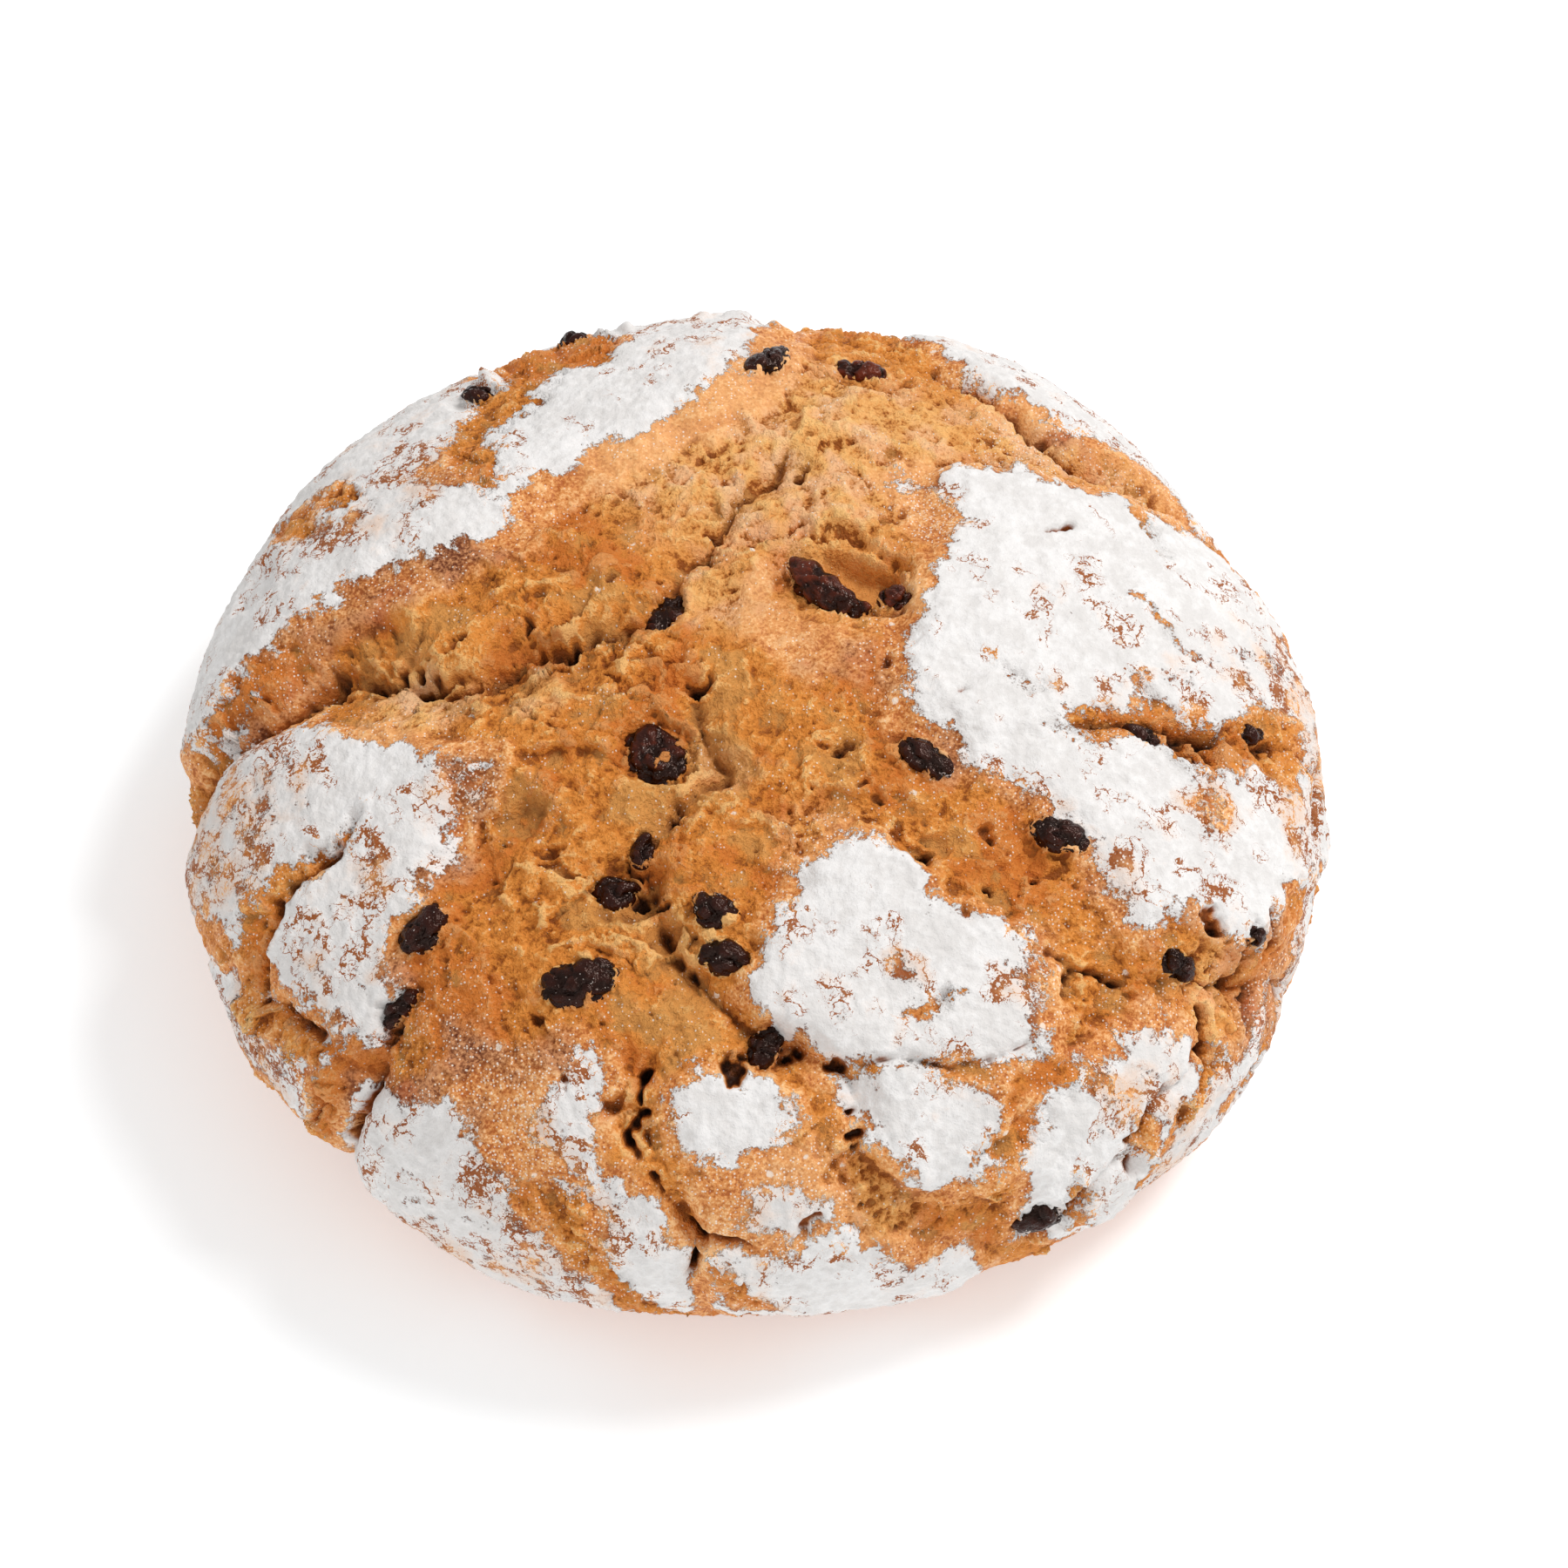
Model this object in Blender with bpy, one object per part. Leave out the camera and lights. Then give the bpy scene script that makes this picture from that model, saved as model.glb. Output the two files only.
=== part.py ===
"""Round raisin soda bread: one burst, floured loaf and the raisins that show in its crust.

The loaf stands on its flat base at z = 0, with the middle of its outline on the Z axis.
Places on the crust are given in a chart: (x, y) in millimetres, where the distance from
(0, 0) is the way along the crust from the top of the loaf, and the direction is the same
as in plan. +X is to the right and -Y to the front.
"""
import math

import bmesh
import bpy
import numpy as np
from mathutils import Matrix, Vector

MM = 0.001

# The plain loaf, in millimetres
RADIUS = 86.3            # mean radius at its widest
HEIGHT = 60.0            # crown of the plain dome
WIDEST = 20.0            # height of the widest line
FOOT = 0.80              # radius of the flat base, as a share of RADIUS
DOME = 2.25              # exponent of the dome's superellipse
OUTLINE = {              # how the outline leaves a circle: turns: (cosine, sine)
    2: (0.7, -0.2),
    3: (-0.1, -0.7),
    4: (-0.1, -0.9),
    5: (0.3, 0.0),
    6: (0.3, 0.3),
}
RINGS = 29               # rings of the loaf's mesh
GAP = 0.35               # clearance between a raisin and the bread
NEARBY = 4.0             # how far round a raisin the crust sets its level

# Crust plates that kept their floured skin while the bread between them burst:
# name: (how far they stand up, how far their rounded rim reaches, outline)
PLATES = {
    "upper_left": (3.4, 9, [(-96, 3), (-104, 36), (-84, 72), (-46, 96), (-8, 102), (2, 68),
                            (-13, 50), (-36, 34), (-67, 18), (-84, 1)]),
    "left": (2.2, 4, [(-88, -4), (-66, -5), (-42, -14), (-47, -28), (-53, -46), (-58, -56),
                      (-76, -42), (-92, -34), (-99, -11)]),
    "low_left": (1.6, 4, [(-96, -36), (-78, -46), (-63, -56), (-76, -68), (-94, -54)]),
    "front_left": (1.4, 5, [(-62, -64), (-45, -65), (-35, -83), (-15, -91), (-12, -106),
                            (-44, -106), (-68, -80)]),
    "front_middle": (1.2, 4, [(-10, -65), (6, -67), (12, -86), (2, -90), (-9, -80)]),
    "front": (1.3, 4, [(-6, -93), (14, -90), (42, -96), (34, -112), (-4, -107)]),
    "middle_right": (2.6, 6, [(14, -29), (22, -33), (38, -43), (43, -59), (37, -79), (24, -79),
                              (16, -66), (3, -56), (2, -44)]),
    "low_right": (1.8, 4, [(42, -77), (45, -63), (64, -52), (68, -60), (66, -86), (50, -86)]),
    "right": (3.2, 7, [(33, 38), (54, 40), (78, 38), (92, 20), (94, -14), (80, -34), (56, -38),
                       (45, -22), (24, -7), (28, 16)]),
    "upper_right": (2.2, 4, [(27, 80), (46, 88), (78, 62), (96, 40), (78, 46), (42, 60)]),
    "back_right": (2.0, 5, [(30, 104), (70, 88), (98, 58), (112, 62), (80, 106), (34, 124)]),
    "back_left": (2.0, 5, [(-116, 10), (-118, 44), (-86, 90), (-46, 116), (-40, 106), (-80, 80),
                           (-106, 40)]),
    "back": (1.6, 5, [(-12, 108), (14, 104), (18, 126), (-16, 128)]),
}

# Cracks: name: (half-width and depth of the valley, half-width and depth of the tear, points)
CRACKS = {
    "upper_left": (11, 4.5, 2.2, 3.5, [(-108, -16), (-86, -3), (-72, 3), (-61, 4), (-42, -1),
                                       (-26, 6), (-14, 10), (-7, 22), (-3, 31), (7, 42)]),
    "middle": (7, 2.6, 1.5, 2.2, [(-8, -1), (-5, -18), (-17, -31), (-14, -40), (-9, -50), (1, -61),
                                  (13, -65), (18, -75)]),
    "middle_right": (3, 0.8, 1.0, 1.6, [(13, -64), (30, -63), (42, -57)]),
    "front": (5, 1.8, 1.4, 2.6, [(-17, -61), (-18, -73), (-8, -87), (-13, -102)]),
    "left": (5, 1.8, 1.4, 2.6, [(-58, -22), (-69, -29), (-76, -34), (-78, -44), (-63, -52)]),
    "left_front": (6, 2.4, 1.6, 2.6, [(-48, -48), (-55, -54), (-60, -64), (-72, -76), (-94, -82)]),
    "right": (5, 2.0, 2.2, 3.4, [(42, -10), (59, -9), (72, -5), (90, -2), (88, -22)]),
    "upper_right": (5, 2.2, 1.6, 2.4, [(26, 78), (36, 62), (46, 53), (60, 46), (76, 42), (96, 26)]),
    "low_right": (4, 1.6, 1.4, 2.2, [(70, -54), (62, -63), (61, -75), (48, -92)]),
    "right_front": (5, 1.8, 1.2, 1.6, [(44, -47), (60, -47), (82, -42), (104, -38)]),
    "back": (6, 2.8, 1.8, 2.6, [(6, 78), (2, 94), (-14, 106), (-20, 128)]),
    "back_right": (5, 2.2, 1.6, 2.4, [(24, 94), (60, 92), (92, 60), (110, 30)]),
    "back_left": (5, 2.2, 1.6, 2.4, [(-108, 6), (-112, 38), (-84, 82), (-42, 104)]),
}

# The open cavity beside the long raisin: depth, how far in its rim slopes, outline
CAVITY_DEPTH = 3.2
CAVITY_RIM = 2.5
CAVITY = [(8, 25), (14, 26), (18, 23), (22, 18), (24, 14), (23, 10), (19, 9), (13, 12), (9, 18)]

# Round hollows: (x, y, radius, depth)
HOLLOWS = [
    (-14, -14, 7, 3.0), (-19, -36, 5, 3.4), (3, -62, 5, 2.2),
    (-38, -27, 12, 1.4), (-45, 60, 5, 2.0), (61, -74, 3, 2.0), (19, 62, 7, 1.4),
    (-80, 28, 6, 1.4), (49, -87, 6, 1.6),
]

# Soft swellings of the dough: (x, y, radius, height)
BULGES = [
    (-46, 18, 18, 2.0), (-40, -14, 14, 1.4), (2, -6, 14, 1.2), (24, -2, 14, 1.4), (10, 46, 16, 1.6),
    (-30, -67, 16, 1.4), (32, -26, 12, 1.0), (-10, 62, 16, 1.6), (60, 12, 22, 1.2), (-76, -26, 18, 1.0),
    (50, -63, 16, 1.0), (0, -96, 18, 1.0), (-70, 60, 20, 1.2), (84, -60, 18, 1.4), (60, 74, 20, 1.2),
]

# Raisins: (x, y, length, width, thickness, turn in degrees, lift of the middle, bend)
RAISINS = [
    (-30, 77, 7, 4.5, 3.6, 10, 0.0, 0.0),
    (-45, 61, 6, 4.5, 3.6, -20, 0.0, 0.1),
    (2, 61, 9.5, 5.5, 4.0, 50, 0.8, 0.1),
    (17, 64, 9, 4.4, 3.6, -12, 0.0, 0.0),
    (-13, 11, 10, 4.8, 4.0, 62, -0.2, 0.1),
    (11.3, 13.7, 17, 6.4, 5.0, -36, 0.9, 0.3),
    (21.6, 12, 5.6, 3.8, 3.2, 6, 0.2, 0.0),
    (-14, -14.5, 12, 9.5, 5.0, -50, 0.2, 0.1),
    (25, -16, 10, 5.5, 4.2, -32, 0.0, 0.0),
    (-20, -36, 8, 5.5, 4.2, 12, -0.8, 0.1),
    (-16, -30, 6, 3.4, 3.2, 80, -0.6, 0.0),
    (-48, -41, 10, 6.0, 4.6, 40, 0.2, 0.1),
    (-25, -51, 13, 7.5, 5.0, 8, 0.0, 0.1),
    (-53, -52, 8, 3.8, 3.6, 40, -0.4, 0.0),
    (-5.5, -41.5, 8, 6.0, 4.4, -30, 0.2, 0.1),
    (-4, -48.5, 8.5, 5.0, 4.2, -15, 0.0, 0.1),
    (2, -62, 7, 6.0, 4.2, 70, -0.4, 0.0),
    (44, -27, 9.5, 5.5, 4.2, -18, 0.1, 0.0),
    (57, -9, 7, 3.8, 3.4, -8, -0.2, 0.0),
    (75, -4, 6, 3.6, 3.2, 10, -0.2, 0.0),
    (64, -43, 6.5, 5.0, 4.0, -20, 0.0, 0.0),
    (76, -36, 4.5, 4.0, 3.4, 0, 0.0, 0.0),
    (49, -86, 9.5, 6.5, 4.6, 30, 0.2, 0.1),
    (-2, 96, 9, 5.5, 4.4, 30, 0.0, 0.1),
    (66, 90, 10, 6.0, 4.6, -60, 0.1, 0.1),
    (-108, 28, 9, 5.0, 4.2, 60, 0.0, 0.1),
]


def profile(steps=480):
    """The dome's side view: way along the crust, radius as a share of the widest, height."""
    upper = np.linspace(0.0, math.pi / 2, steps)
    lower = np.linspace(0.0, math.pi / 2, steps)[1:]
    share = np.concatenate([np.sin(upper) ** (2 / DOME), FOOT + (1 - FOOT) * np.cos(lower)])
    height = np.concatenate([WIDEST + (HEIGHT - WIDEST) * np.cos(upper) ** (2 / DOME),
                             WIDEST * (1 - np.sin(lower))])
    way = np.concatenate([[0.0], np.cumsum(np.hypot(np.diff(share * RADIUS), np.diff(height)))])
    return way, share, height


WAY, SHARE, RISE = profile()
EDGE = WAY[-1]           # the way from the top down to the rim of the base


def outline_radius(angle):
    radius = np.full_like(angle, RADIUS)
    for turns, (cosine, sine) in OUTLINE.items():
        radius = radius + cosine * np.cos(turns * angle) + sine * np.sin(turns * angle)
    return radius


def plain_dome(chart):
    """Points of the smooth dome, in millimetres, for an array of chart places."""
    way = np.hypot(chart[:, 0], chart[:, 1])
    angle = np.arctan2(chart[:, 1], chart[:, 0])
    radius = outline_radius(angle) * np.interp(way, WAY, SHARE)
    return np.stack([radius * np.cos(angle), radius * np.sin(angle), np.interp(way, WAY, RISE)], 1)


def dome_normal(chart, step=0.3):
    along_x = plain_dome(chart + [step, 0]) - plain_dome(chart - [step, 0])
    along_y = plain_dome(chart + [0, step]) - plain_dome(chart - [0, step])
    normal = np.cross(along_x, along_y)
    return normal / np.linalg.norm(normal, axis=1)[:, None]


def smooth_step(low, high, value):
    share = np.clip((value - low) / (high - low), 0.0, 1.0)
    return share * share * (3.0 - 2.0 * share)


def to_line(points, chart, closed=False):
    """Distance to a bent line, and the share of the line's length at the nearest place."""
    corners = np.array(points, float)
    ends = np.roll(corners, -1, axis=0) if closed else corners[1:]
    starts = corners if closed else corners[:-1]
    lengths = np.linalg.norm(ends - starts, axis=1)
    before = np.concatenate([[0.0], np.cumsum(lengths)])
    nearest = np.full(len(chart), np.inf)
    share = np.zeros(len(chart))
    for start, end, length, done in zip(starts, ends, lengths, before):
        part = np.clip(((chart - start) @ (end - start)) / length ** 2, 0.0, 1.0)
        distance = np.linalg.norm(chart - start - part[:, None] * (end - start), axis=1)
        closer = distance < nearest
        nearest = np.where(closer, distance, nearest)
        share = np.where(closer, (done + part * length) / before[-1], share)
    return nearest, share


def inside_depth(outline, chart):
    """Distance to an outline, positive inside it."""
    corners = np.array(outline, float)
    inside = np.zeros(len(chart), bool)
    for (x0, y0), (x1, y1) in zip(corners, np.roll(corners, -1, axis=0)):
        crosses = (y0 > chart[:, 1]) != (y1 > chart[:, 1])
        rise = y1 - y0 if y1 != y0 else 1.0
        inside ^= crosses & (chart[:, 0] < x0 + (chart[:, 1] - y0) / rise * (x1 - x0))
    distance, _ = to_line(outline, chart, closed=True)
    return np.where(inside, distance, -distance)


def relief(chart):
    """How far the crust stands out from the plain dome, in millimetres."""
    height = np.zeros(len(chart))
    for x, y, radius, lift in BULGES:
        height += lift * np.exp(-((chart - [x, y]) ** 2).sum(1) / radius ** 2)
    for lift, rim, outline in PLATES.values():
        height += lift * smooth_step(-rim, rim * 0.4, inside_depth(outline, chart))
    for wide, low, tear, deep, points in CRACKS.values():
        distance, share = to_line(points, chart)
        taper = np.sqrt(smooth_step(0.0, 0.15, share) * smooth_step(1.0, 0.85, share))
        height -= low * taper * np.clip(1 - distance / wide, 0, 1) ** 2
        height -= deep * taper * np.clip(1 - distance / tear, 0, 1)
    for x, y, radius, deep in HOLLOWS:
        distance = np.linalg.norm(chart - [x, y], axis=1)
        height -= deep * smooth_step(radius, radius * 0.55, distance)
    height -= CAVITY_DEPTH * smooth_step(0.0, CAVITY_RIM, inside_depth(CAVITY, chart))
    way = np.hypot(chart[:, 0], chart[:, 1])
    return height * smooth_step(EDGE - 1, EDGE - 16, way)


def crust(chart):
    return plain_dome(chart) + dome_normal(chart) * relief(chart)[:, None]


def material(name, colour, roughness):
    made = bpy.data.materials.new(name)
    made.use_nodes = True
    shader = made.node_tree.nodes["Principled BSDF"]
    shader.inputs["Base Color"].default_value = (*colour, 1.0)
    shader.inputs["Roughness"].default_value = roughness
    return made


def add_object(name, mesh, finish):
    made = bpy.data.objects.new(name, mesh)
    bpy.context.scene.collection.objects.link(made)
    mesh.materials.append(finish)
    mesh.shade_smooth()
    return made


def loaf(finish):
    """The bread in one closed mesh: rings of 6, 12, 18... points round the top, and a flat base."""
    chart = [(0.0, 0.0)]
    for ring in range(1, RINGS + 1):
        for step in range(6 * ring):
            angle = 2 * math.pi * step / (6 * ring)
            way = EDGE * ring / RINGS
            chart.append((way * math.cos(angle), way * math.sin(angle)))
    points = crust(np.array(chart))
    shape = bmesh.new()
    corners = [shape.verts.new(point * MM) for point in points]

    def first(ring):
        return 1 + 3 * ring * (ring - 1) if ring else 0

    for ring in range(RINGS):
        inner = corners[first(ring):first(ring + 1)]
        outer = corners[first(ring + 1):first(ring + 2)]
        for side in range(6):
            for step in range(ring + 1):
                a = outer[side * (ring + 1) + step]
                b = outer[(side * (ring + 1) + step + 1) % len(outer)]
                c = inner[(side * ring + step) % len(inner)]
                shape.faces.new((a, b, c))
                if step < ring:
                    d = inner[(side * ring + step + 1) % len(inner)]
                    shape.faces.new((c, b, d))
    shape.faces.new(corners[:first(RINGS) - 1:-1])
    mesh = bpy.data.meshes.new("bread")
    shape.to_mesh(mesh)
    shape.free()
    return add_object("bread", mesh, finish)


def raisin_mesh(name, sizes, bend, grow, seed):
    """A lumpy dried raisin along its own X, grown all round by grow."""
    shape = bmesh.new()
    bmesh.ops.create_icosphere(shape, subdivisions=2, radius=1.0)
    for corner in shape.verts:
        x, y, z = corner.co
        wrinkle = 1 + 0.07 * math.sin(5 * x + 2.1 * seed) * math.cos(4 * y - seed)
        wrinkle += 0.05 * math.sin(7 * z + 3 * y + 1.3 * seed)
        place = Vector([part * (size / 2 + grow) for part, size in zip((x, y, z), sizes)])
        place *= wrinkle
        place.y += bend * sizes[1] * (x * x - 0.4)
        corner.co = place * MM
    mesh = bpy.data.meshes.new(name)
    shape.to_mesh(mesh)
    shape.free()
    return mesh


def crust_frame(x, y, turn, lift):
    """Location and rotation of a raisin that lies in the crust at chart place (x, y).

    Its height is that of the crust around it, so it shows above a narrow tear or hollow.
    """
    place = np.array([[x, y]], float)
    around = [(NEARBY * math.cos(turn), NEARBY * math.sin(turn)) for turn in range(8)]
    level = relief(place + np.array(around)).mean() + lift
    ahead = np.array([[math.cos(math.radians(turn)), math.sin(math.radians(turn))]])
    normal = Vector(dome_normal(place)[0])
    along = Vector((plain_dome(place + 0.5 * ahead) - plain_dome(place - 0.5 * ahead))[0])
    along = (along - normal * along.dot(normal)).normalized()
    across = normal.cross(along)
    turned = Matrix((along, across, normal)).transposed().to_4x4()
    return Matrix.Translation((Vector(plain_dome(place)[0]) + normal * level) * MM) @ turned


def add_raisins(bread, finish):
    for index, (x, y, length, width, thick, turn, lift, bend) in enumerate(RAISINS, 1):
        placed = crust_frame(x, y, turn, lift)
        name = f"raisin_{index:02d}"
        sizes = (length, width, thick)
        raisin = add_object(name, raisin_mesh(name, sizes, bend, 0.0, index), finish)
        raisin.matrix_world = placed
        socket = bpy.data.objects.new(f"{name}_socket",
                                      raisin_mesh(f"{name}_socket", sizes, bend, GAP, index))
        bpy.context.scene.collection.objects.link(socket)
        socket.matrix_world = placed
        socket.hide_render = True
        socket.display_type = "WIRE"
        cut = bread.modifiers.new(f"{name}_socket", "BOOLEAN")
        cut.operation = "DIFFERENCE"
        cut.solver = "EXACT"
        cut.object = socket


def main():
    for old in list(bpy.data.objects):
        bpy.data.objects.remove(old, do_unlink=True)
    bread = loaf(material("bread_crust", (0.58, 0.30, 0.12), 0.8))
    add_raisins(bread, material("raisin_skin", (0.05, 0.015, 0.012), 0.45))


main()
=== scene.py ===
"""The looks of a round raisin soda bread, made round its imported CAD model.

Places on the crust are given in a chart, as (x, y) in millimetres: the distance from (0, 0)
is the way along the crust from the top of the loaf, and the direction is the same as in plan,
with +X to the right and -Y to the front.
"""
import math

import bmesh
import bpy
import numpy as np
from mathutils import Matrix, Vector
from mathutils.bvhtree import BVHTree


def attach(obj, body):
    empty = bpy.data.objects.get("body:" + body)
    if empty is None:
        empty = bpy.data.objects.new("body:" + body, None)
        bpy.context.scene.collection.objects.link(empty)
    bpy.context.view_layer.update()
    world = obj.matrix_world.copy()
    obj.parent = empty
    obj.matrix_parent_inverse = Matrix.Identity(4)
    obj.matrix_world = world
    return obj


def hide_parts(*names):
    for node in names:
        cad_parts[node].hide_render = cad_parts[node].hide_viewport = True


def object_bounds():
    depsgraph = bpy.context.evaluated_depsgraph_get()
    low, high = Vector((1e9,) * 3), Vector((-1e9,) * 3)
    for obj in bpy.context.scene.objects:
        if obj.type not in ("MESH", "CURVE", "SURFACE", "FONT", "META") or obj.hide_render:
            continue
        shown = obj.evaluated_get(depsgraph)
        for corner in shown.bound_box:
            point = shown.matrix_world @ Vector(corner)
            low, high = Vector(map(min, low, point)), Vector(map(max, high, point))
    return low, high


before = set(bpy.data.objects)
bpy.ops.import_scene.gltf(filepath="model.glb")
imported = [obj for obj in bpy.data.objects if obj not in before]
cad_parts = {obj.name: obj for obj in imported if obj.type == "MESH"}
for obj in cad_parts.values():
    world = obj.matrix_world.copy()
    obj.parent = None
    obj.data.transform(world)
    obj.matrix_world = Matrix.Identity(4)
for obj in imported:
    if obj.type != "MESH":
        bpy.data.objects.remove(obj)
CAD_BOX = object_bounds()

MM = 0.001

# -------- the plain loaf, as in the CAD
RADIUS = 86.3
HEIGHT = 60.0
WIDEST = 20.0
FOOT = 0.80
DOME = 2.25
OUTLINE = {2: (0.7, -0.2), 3: (-0.1, -0.7), 4: (-0.1, -0.9), 5: (0.3, 0), 6: (0.3, 0.3)}

RINGS = 320              # rings of the fine mesh from the top to the rim of the base
BASE_RINGS = 70          # rings of the base's mesh

# Crust plates: (how far they stand up, how far their rounded rim reaches, outline)
PLATES = [
    (3.4, 9, [(-96, 3), (-104, 36), (-84, 72), (-46, 96), (-8, 102), (2, 68), (-13, 50), (-36, 34),
        (-67, 18), (-84, 1)]),
    (2.2, 4, [(-88, -4), (-66, -5), (-42, -14), (-47, -28), (-53, -46), (-58, -56), (-76, -42), (-92, -34),
        (-99, -11)]),
    (1.6, 4, [(-96, -36), (-78, -46), (-63, -56), (-76, -68), (-94, -54)]),
    (1.4, 5, [(-62, -64), (-45, -65), (-35, -83), (-15, -91), (-12, -106), (-44, -106), (-68, -80)]),
    (1.2, 4, [(-10, -65), (6, -67), (12, -86), (2, -90), (-9, -80)]),
    (1.3, 4, [(-6, -93), (14, -90), (42, -96), (34, -112), (-4, -107)]),
    (2.6, 6, [(14, -29), (22, -33), (38, -43), (43, -59), (37, -79), (24, -79), (16, -66), (3, -56),
        (2, -44)]),
    (1.8, 4, [(42, -77), (45, -63), (64, -52), (68, -60), (66, -86), (50, -86)]),
    (3.2, 7, [(33, 38), (54, 40), (78, 38), (92, 20), (94, -14), (80, -34), (56, -38), (45, -22), (24, -7),
        (28, 16)]),
    (2.2, 4, [(27, 80), (46, 88), (78, 62), (96, 40), (78, 46), (42, 60)]),
    (2, 5, [(30, 104), (70, 88), (98, 58), (112, 62), (80, 106), (34, 124)]),
    (2, 5, [(-116, 10), (-118, 44), (-86, 90), (-46, 116), (-40, 106), (-80, 80), (-106, 40)]),
    (1.6, 5, [(-12, 108), (14, 104), (18, 126), (-16, 128)]),
]

# Cracks: (half-width and depth of the valley, half-width and depth of the tear, points)
CRACKS = [
    (11, 4.5, 1.5, 1.8, [(-108, -16), (-86, -3), (-72, 3), (-61, 4), (-42, -1), (-26, 6), (-14, 10),
        (-10, 16)]),
    (7, 2.4, 0.7, 1, [(-12, 12), (-7, 22), (-3, 31), (7, 42)]),
    (7, 2.6, 0.9, 1, [(-8, -1), (-5, -18), (-17, -31), (-14, -40), (-9, -50), (1, -61), (13, -65),
        (18, -75)]),
    (3, 0.8, 0.5, 0.8, [(13, -64), (30, -63), (42, -57)]),
    (3.2, 0.9, 0.3, 0.4, [(-16, -61), (-17, -73), (-13, -82), (-8, -88), (-11, -99)]),
    (1.4, 0.4, 0.6, 2.6, [(-16.2, -63), (-16.8, -70)]),
    (1.8, 0.4, 0.75, 3.4, [(-15, -70), (-18.4, -73.4), (-17.4, -78)]),
    (1.8, 0.4, 0.8, 3.2, [(-15.4, -79), (-12.2, -83.4)]),
    (1.6, 0.4, 0.7, 3.4, [(-9.6, -86), (-7.6, -88.6), (-6.4, -91)]),
    (1.6, 0.3, 0.7, 2.8, [(-8, -91.6), (-10.6, -97)]),
    (3, 0.6, 0.8, 1.2, [(-8, -89), (2, -91), (12, -88)]),
    (3.5, 1.4, 1.3, 2.4, [(-58, -23), (-63, -27), (-67, -29.5), (-72, -32), (-75, -36), (-77, -41),
        (-77, -46), (-72, -50), (-64, -53)]),
    (6, 2.4, 1.6, 2.6, [(-48, -48), (-55, -54), (-60, -64), (-72, -76), (-94, -82)]),
    (5, 1.8, 0.7, 1.6, [(42, -9.5), (50, -8), (60, -8), (66, -7.5), (74, -5), (84, -3), (90, -4),
        (88, -22)]),
    (4, 1.8, 1, 2.6, [(29, 70), (38, 61), (47, 53), (52, 49), (61, 45), (71, 40), (80, 34), (90, 25)]),
    (3, 1.2, 1.2, 2.2, [(70, -54), (62, -63), (59, -72), (48, -92)]),
    (5, 1.2, 0.5, 0.7, [(44, -47), (60, -47), (82, -42), (104, -38)]),
    (2, 0.5, 0.9, 2.6, [(43, -44), (47, -46), (52, -45.6), (57, -47)]),
    (2.4, 0.8, 1.1, 3, [(74.5, -37), (75.5, -40), (75, -43.5)]),
    (2.4, 0.8, 1.2, 3, [(80, -41), (80.5, -45), (78.5, -50)]),
    (2.4, 0.8, 1.1, 3, [(79, -30), (80, -34), (79, -38)]),
    (2.4, 0.8, 1.1, 3, [(69.5, -48), (71, -53), (72, -57), (69, -62)]),
    (2.4, 0.8, 1.1, 3, [(89, -26), (91, -32), (92, -40), (90, -50)]),
    (2.4, 0.3, 1, 2.6, [(-68, 0.5), (-60, 1.5), (-50, 0.5), (-42, 2)]),
    (1, 0.1, 0.7, 2.6, [(40, 25.5), (44, 27), (49, 28.5)]),
    (6, 2.8, 1.8, 2.6, [(6, 78), (2, 94), (-14, 106), (-20, 128)]),
    (5, 2.2, 1.6, 2.4, [(24, 94), (60, 92), (92, 60), (110, 30)]),
    (5, 2.2, 1.6, 2.4, [(-108, 6), (-112, 38), (-84, 82), (-42, 104)]),
]

# Round hollows: (x, y, radius, depth)
HOLLOWS = [
    (-14, -14, 7, 3), (27, -30, 4, 1.4), (-19, -37, 6.4, 3.4), (3, -62, 5, 2.2), (-38, -27, 12, 1.4),
    (-45, 60, 5, 2), (61, -74, 3, 2), (19, 62, 7, 1.4), (-80, 28, 6, 1.4), (49, -87, 6, 1.6),
]

# The open, smooth cavity beside the long raisin: depth, outline, and how far in its rim slopes,
# gently at the back on the left and steeply at the front on the right
CAVITY_DEPTH = 4.6
CAVITY = [(8, 23), (13, 24.5), (18, 22), (21.6, 18), (23.2, 14), (22.4, 10), (19.5, 8.6), (13, 11),
          (8.5, 17)]
CAVITY_RIM_AT = [2, 12]
CAVITY_RIM = [4.6, 1.4]

# Soft swellings of the dough: (x, y, radius, height)
BULGES = [
    (-46, 18, 18, 2), (-40, -14, 14, 1.4), (2, -6, 14, 1.2), (24, -2, 14, 1.4), (10, 46, 16, 1.6),
    (-30, -67, 16, 1.4), (32, -26, 12, 1), (-10, 62, 16, 1.6), (60, 12, 22, 1.2), (-76, -26, 18, 1),
    (50, -63, 16, 1), (0, -96, 18, 1), (-70, 60, 20, 1.2), (84, -60, 18, 1.4), (60, 74, 20, 1.2),
]

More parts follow.
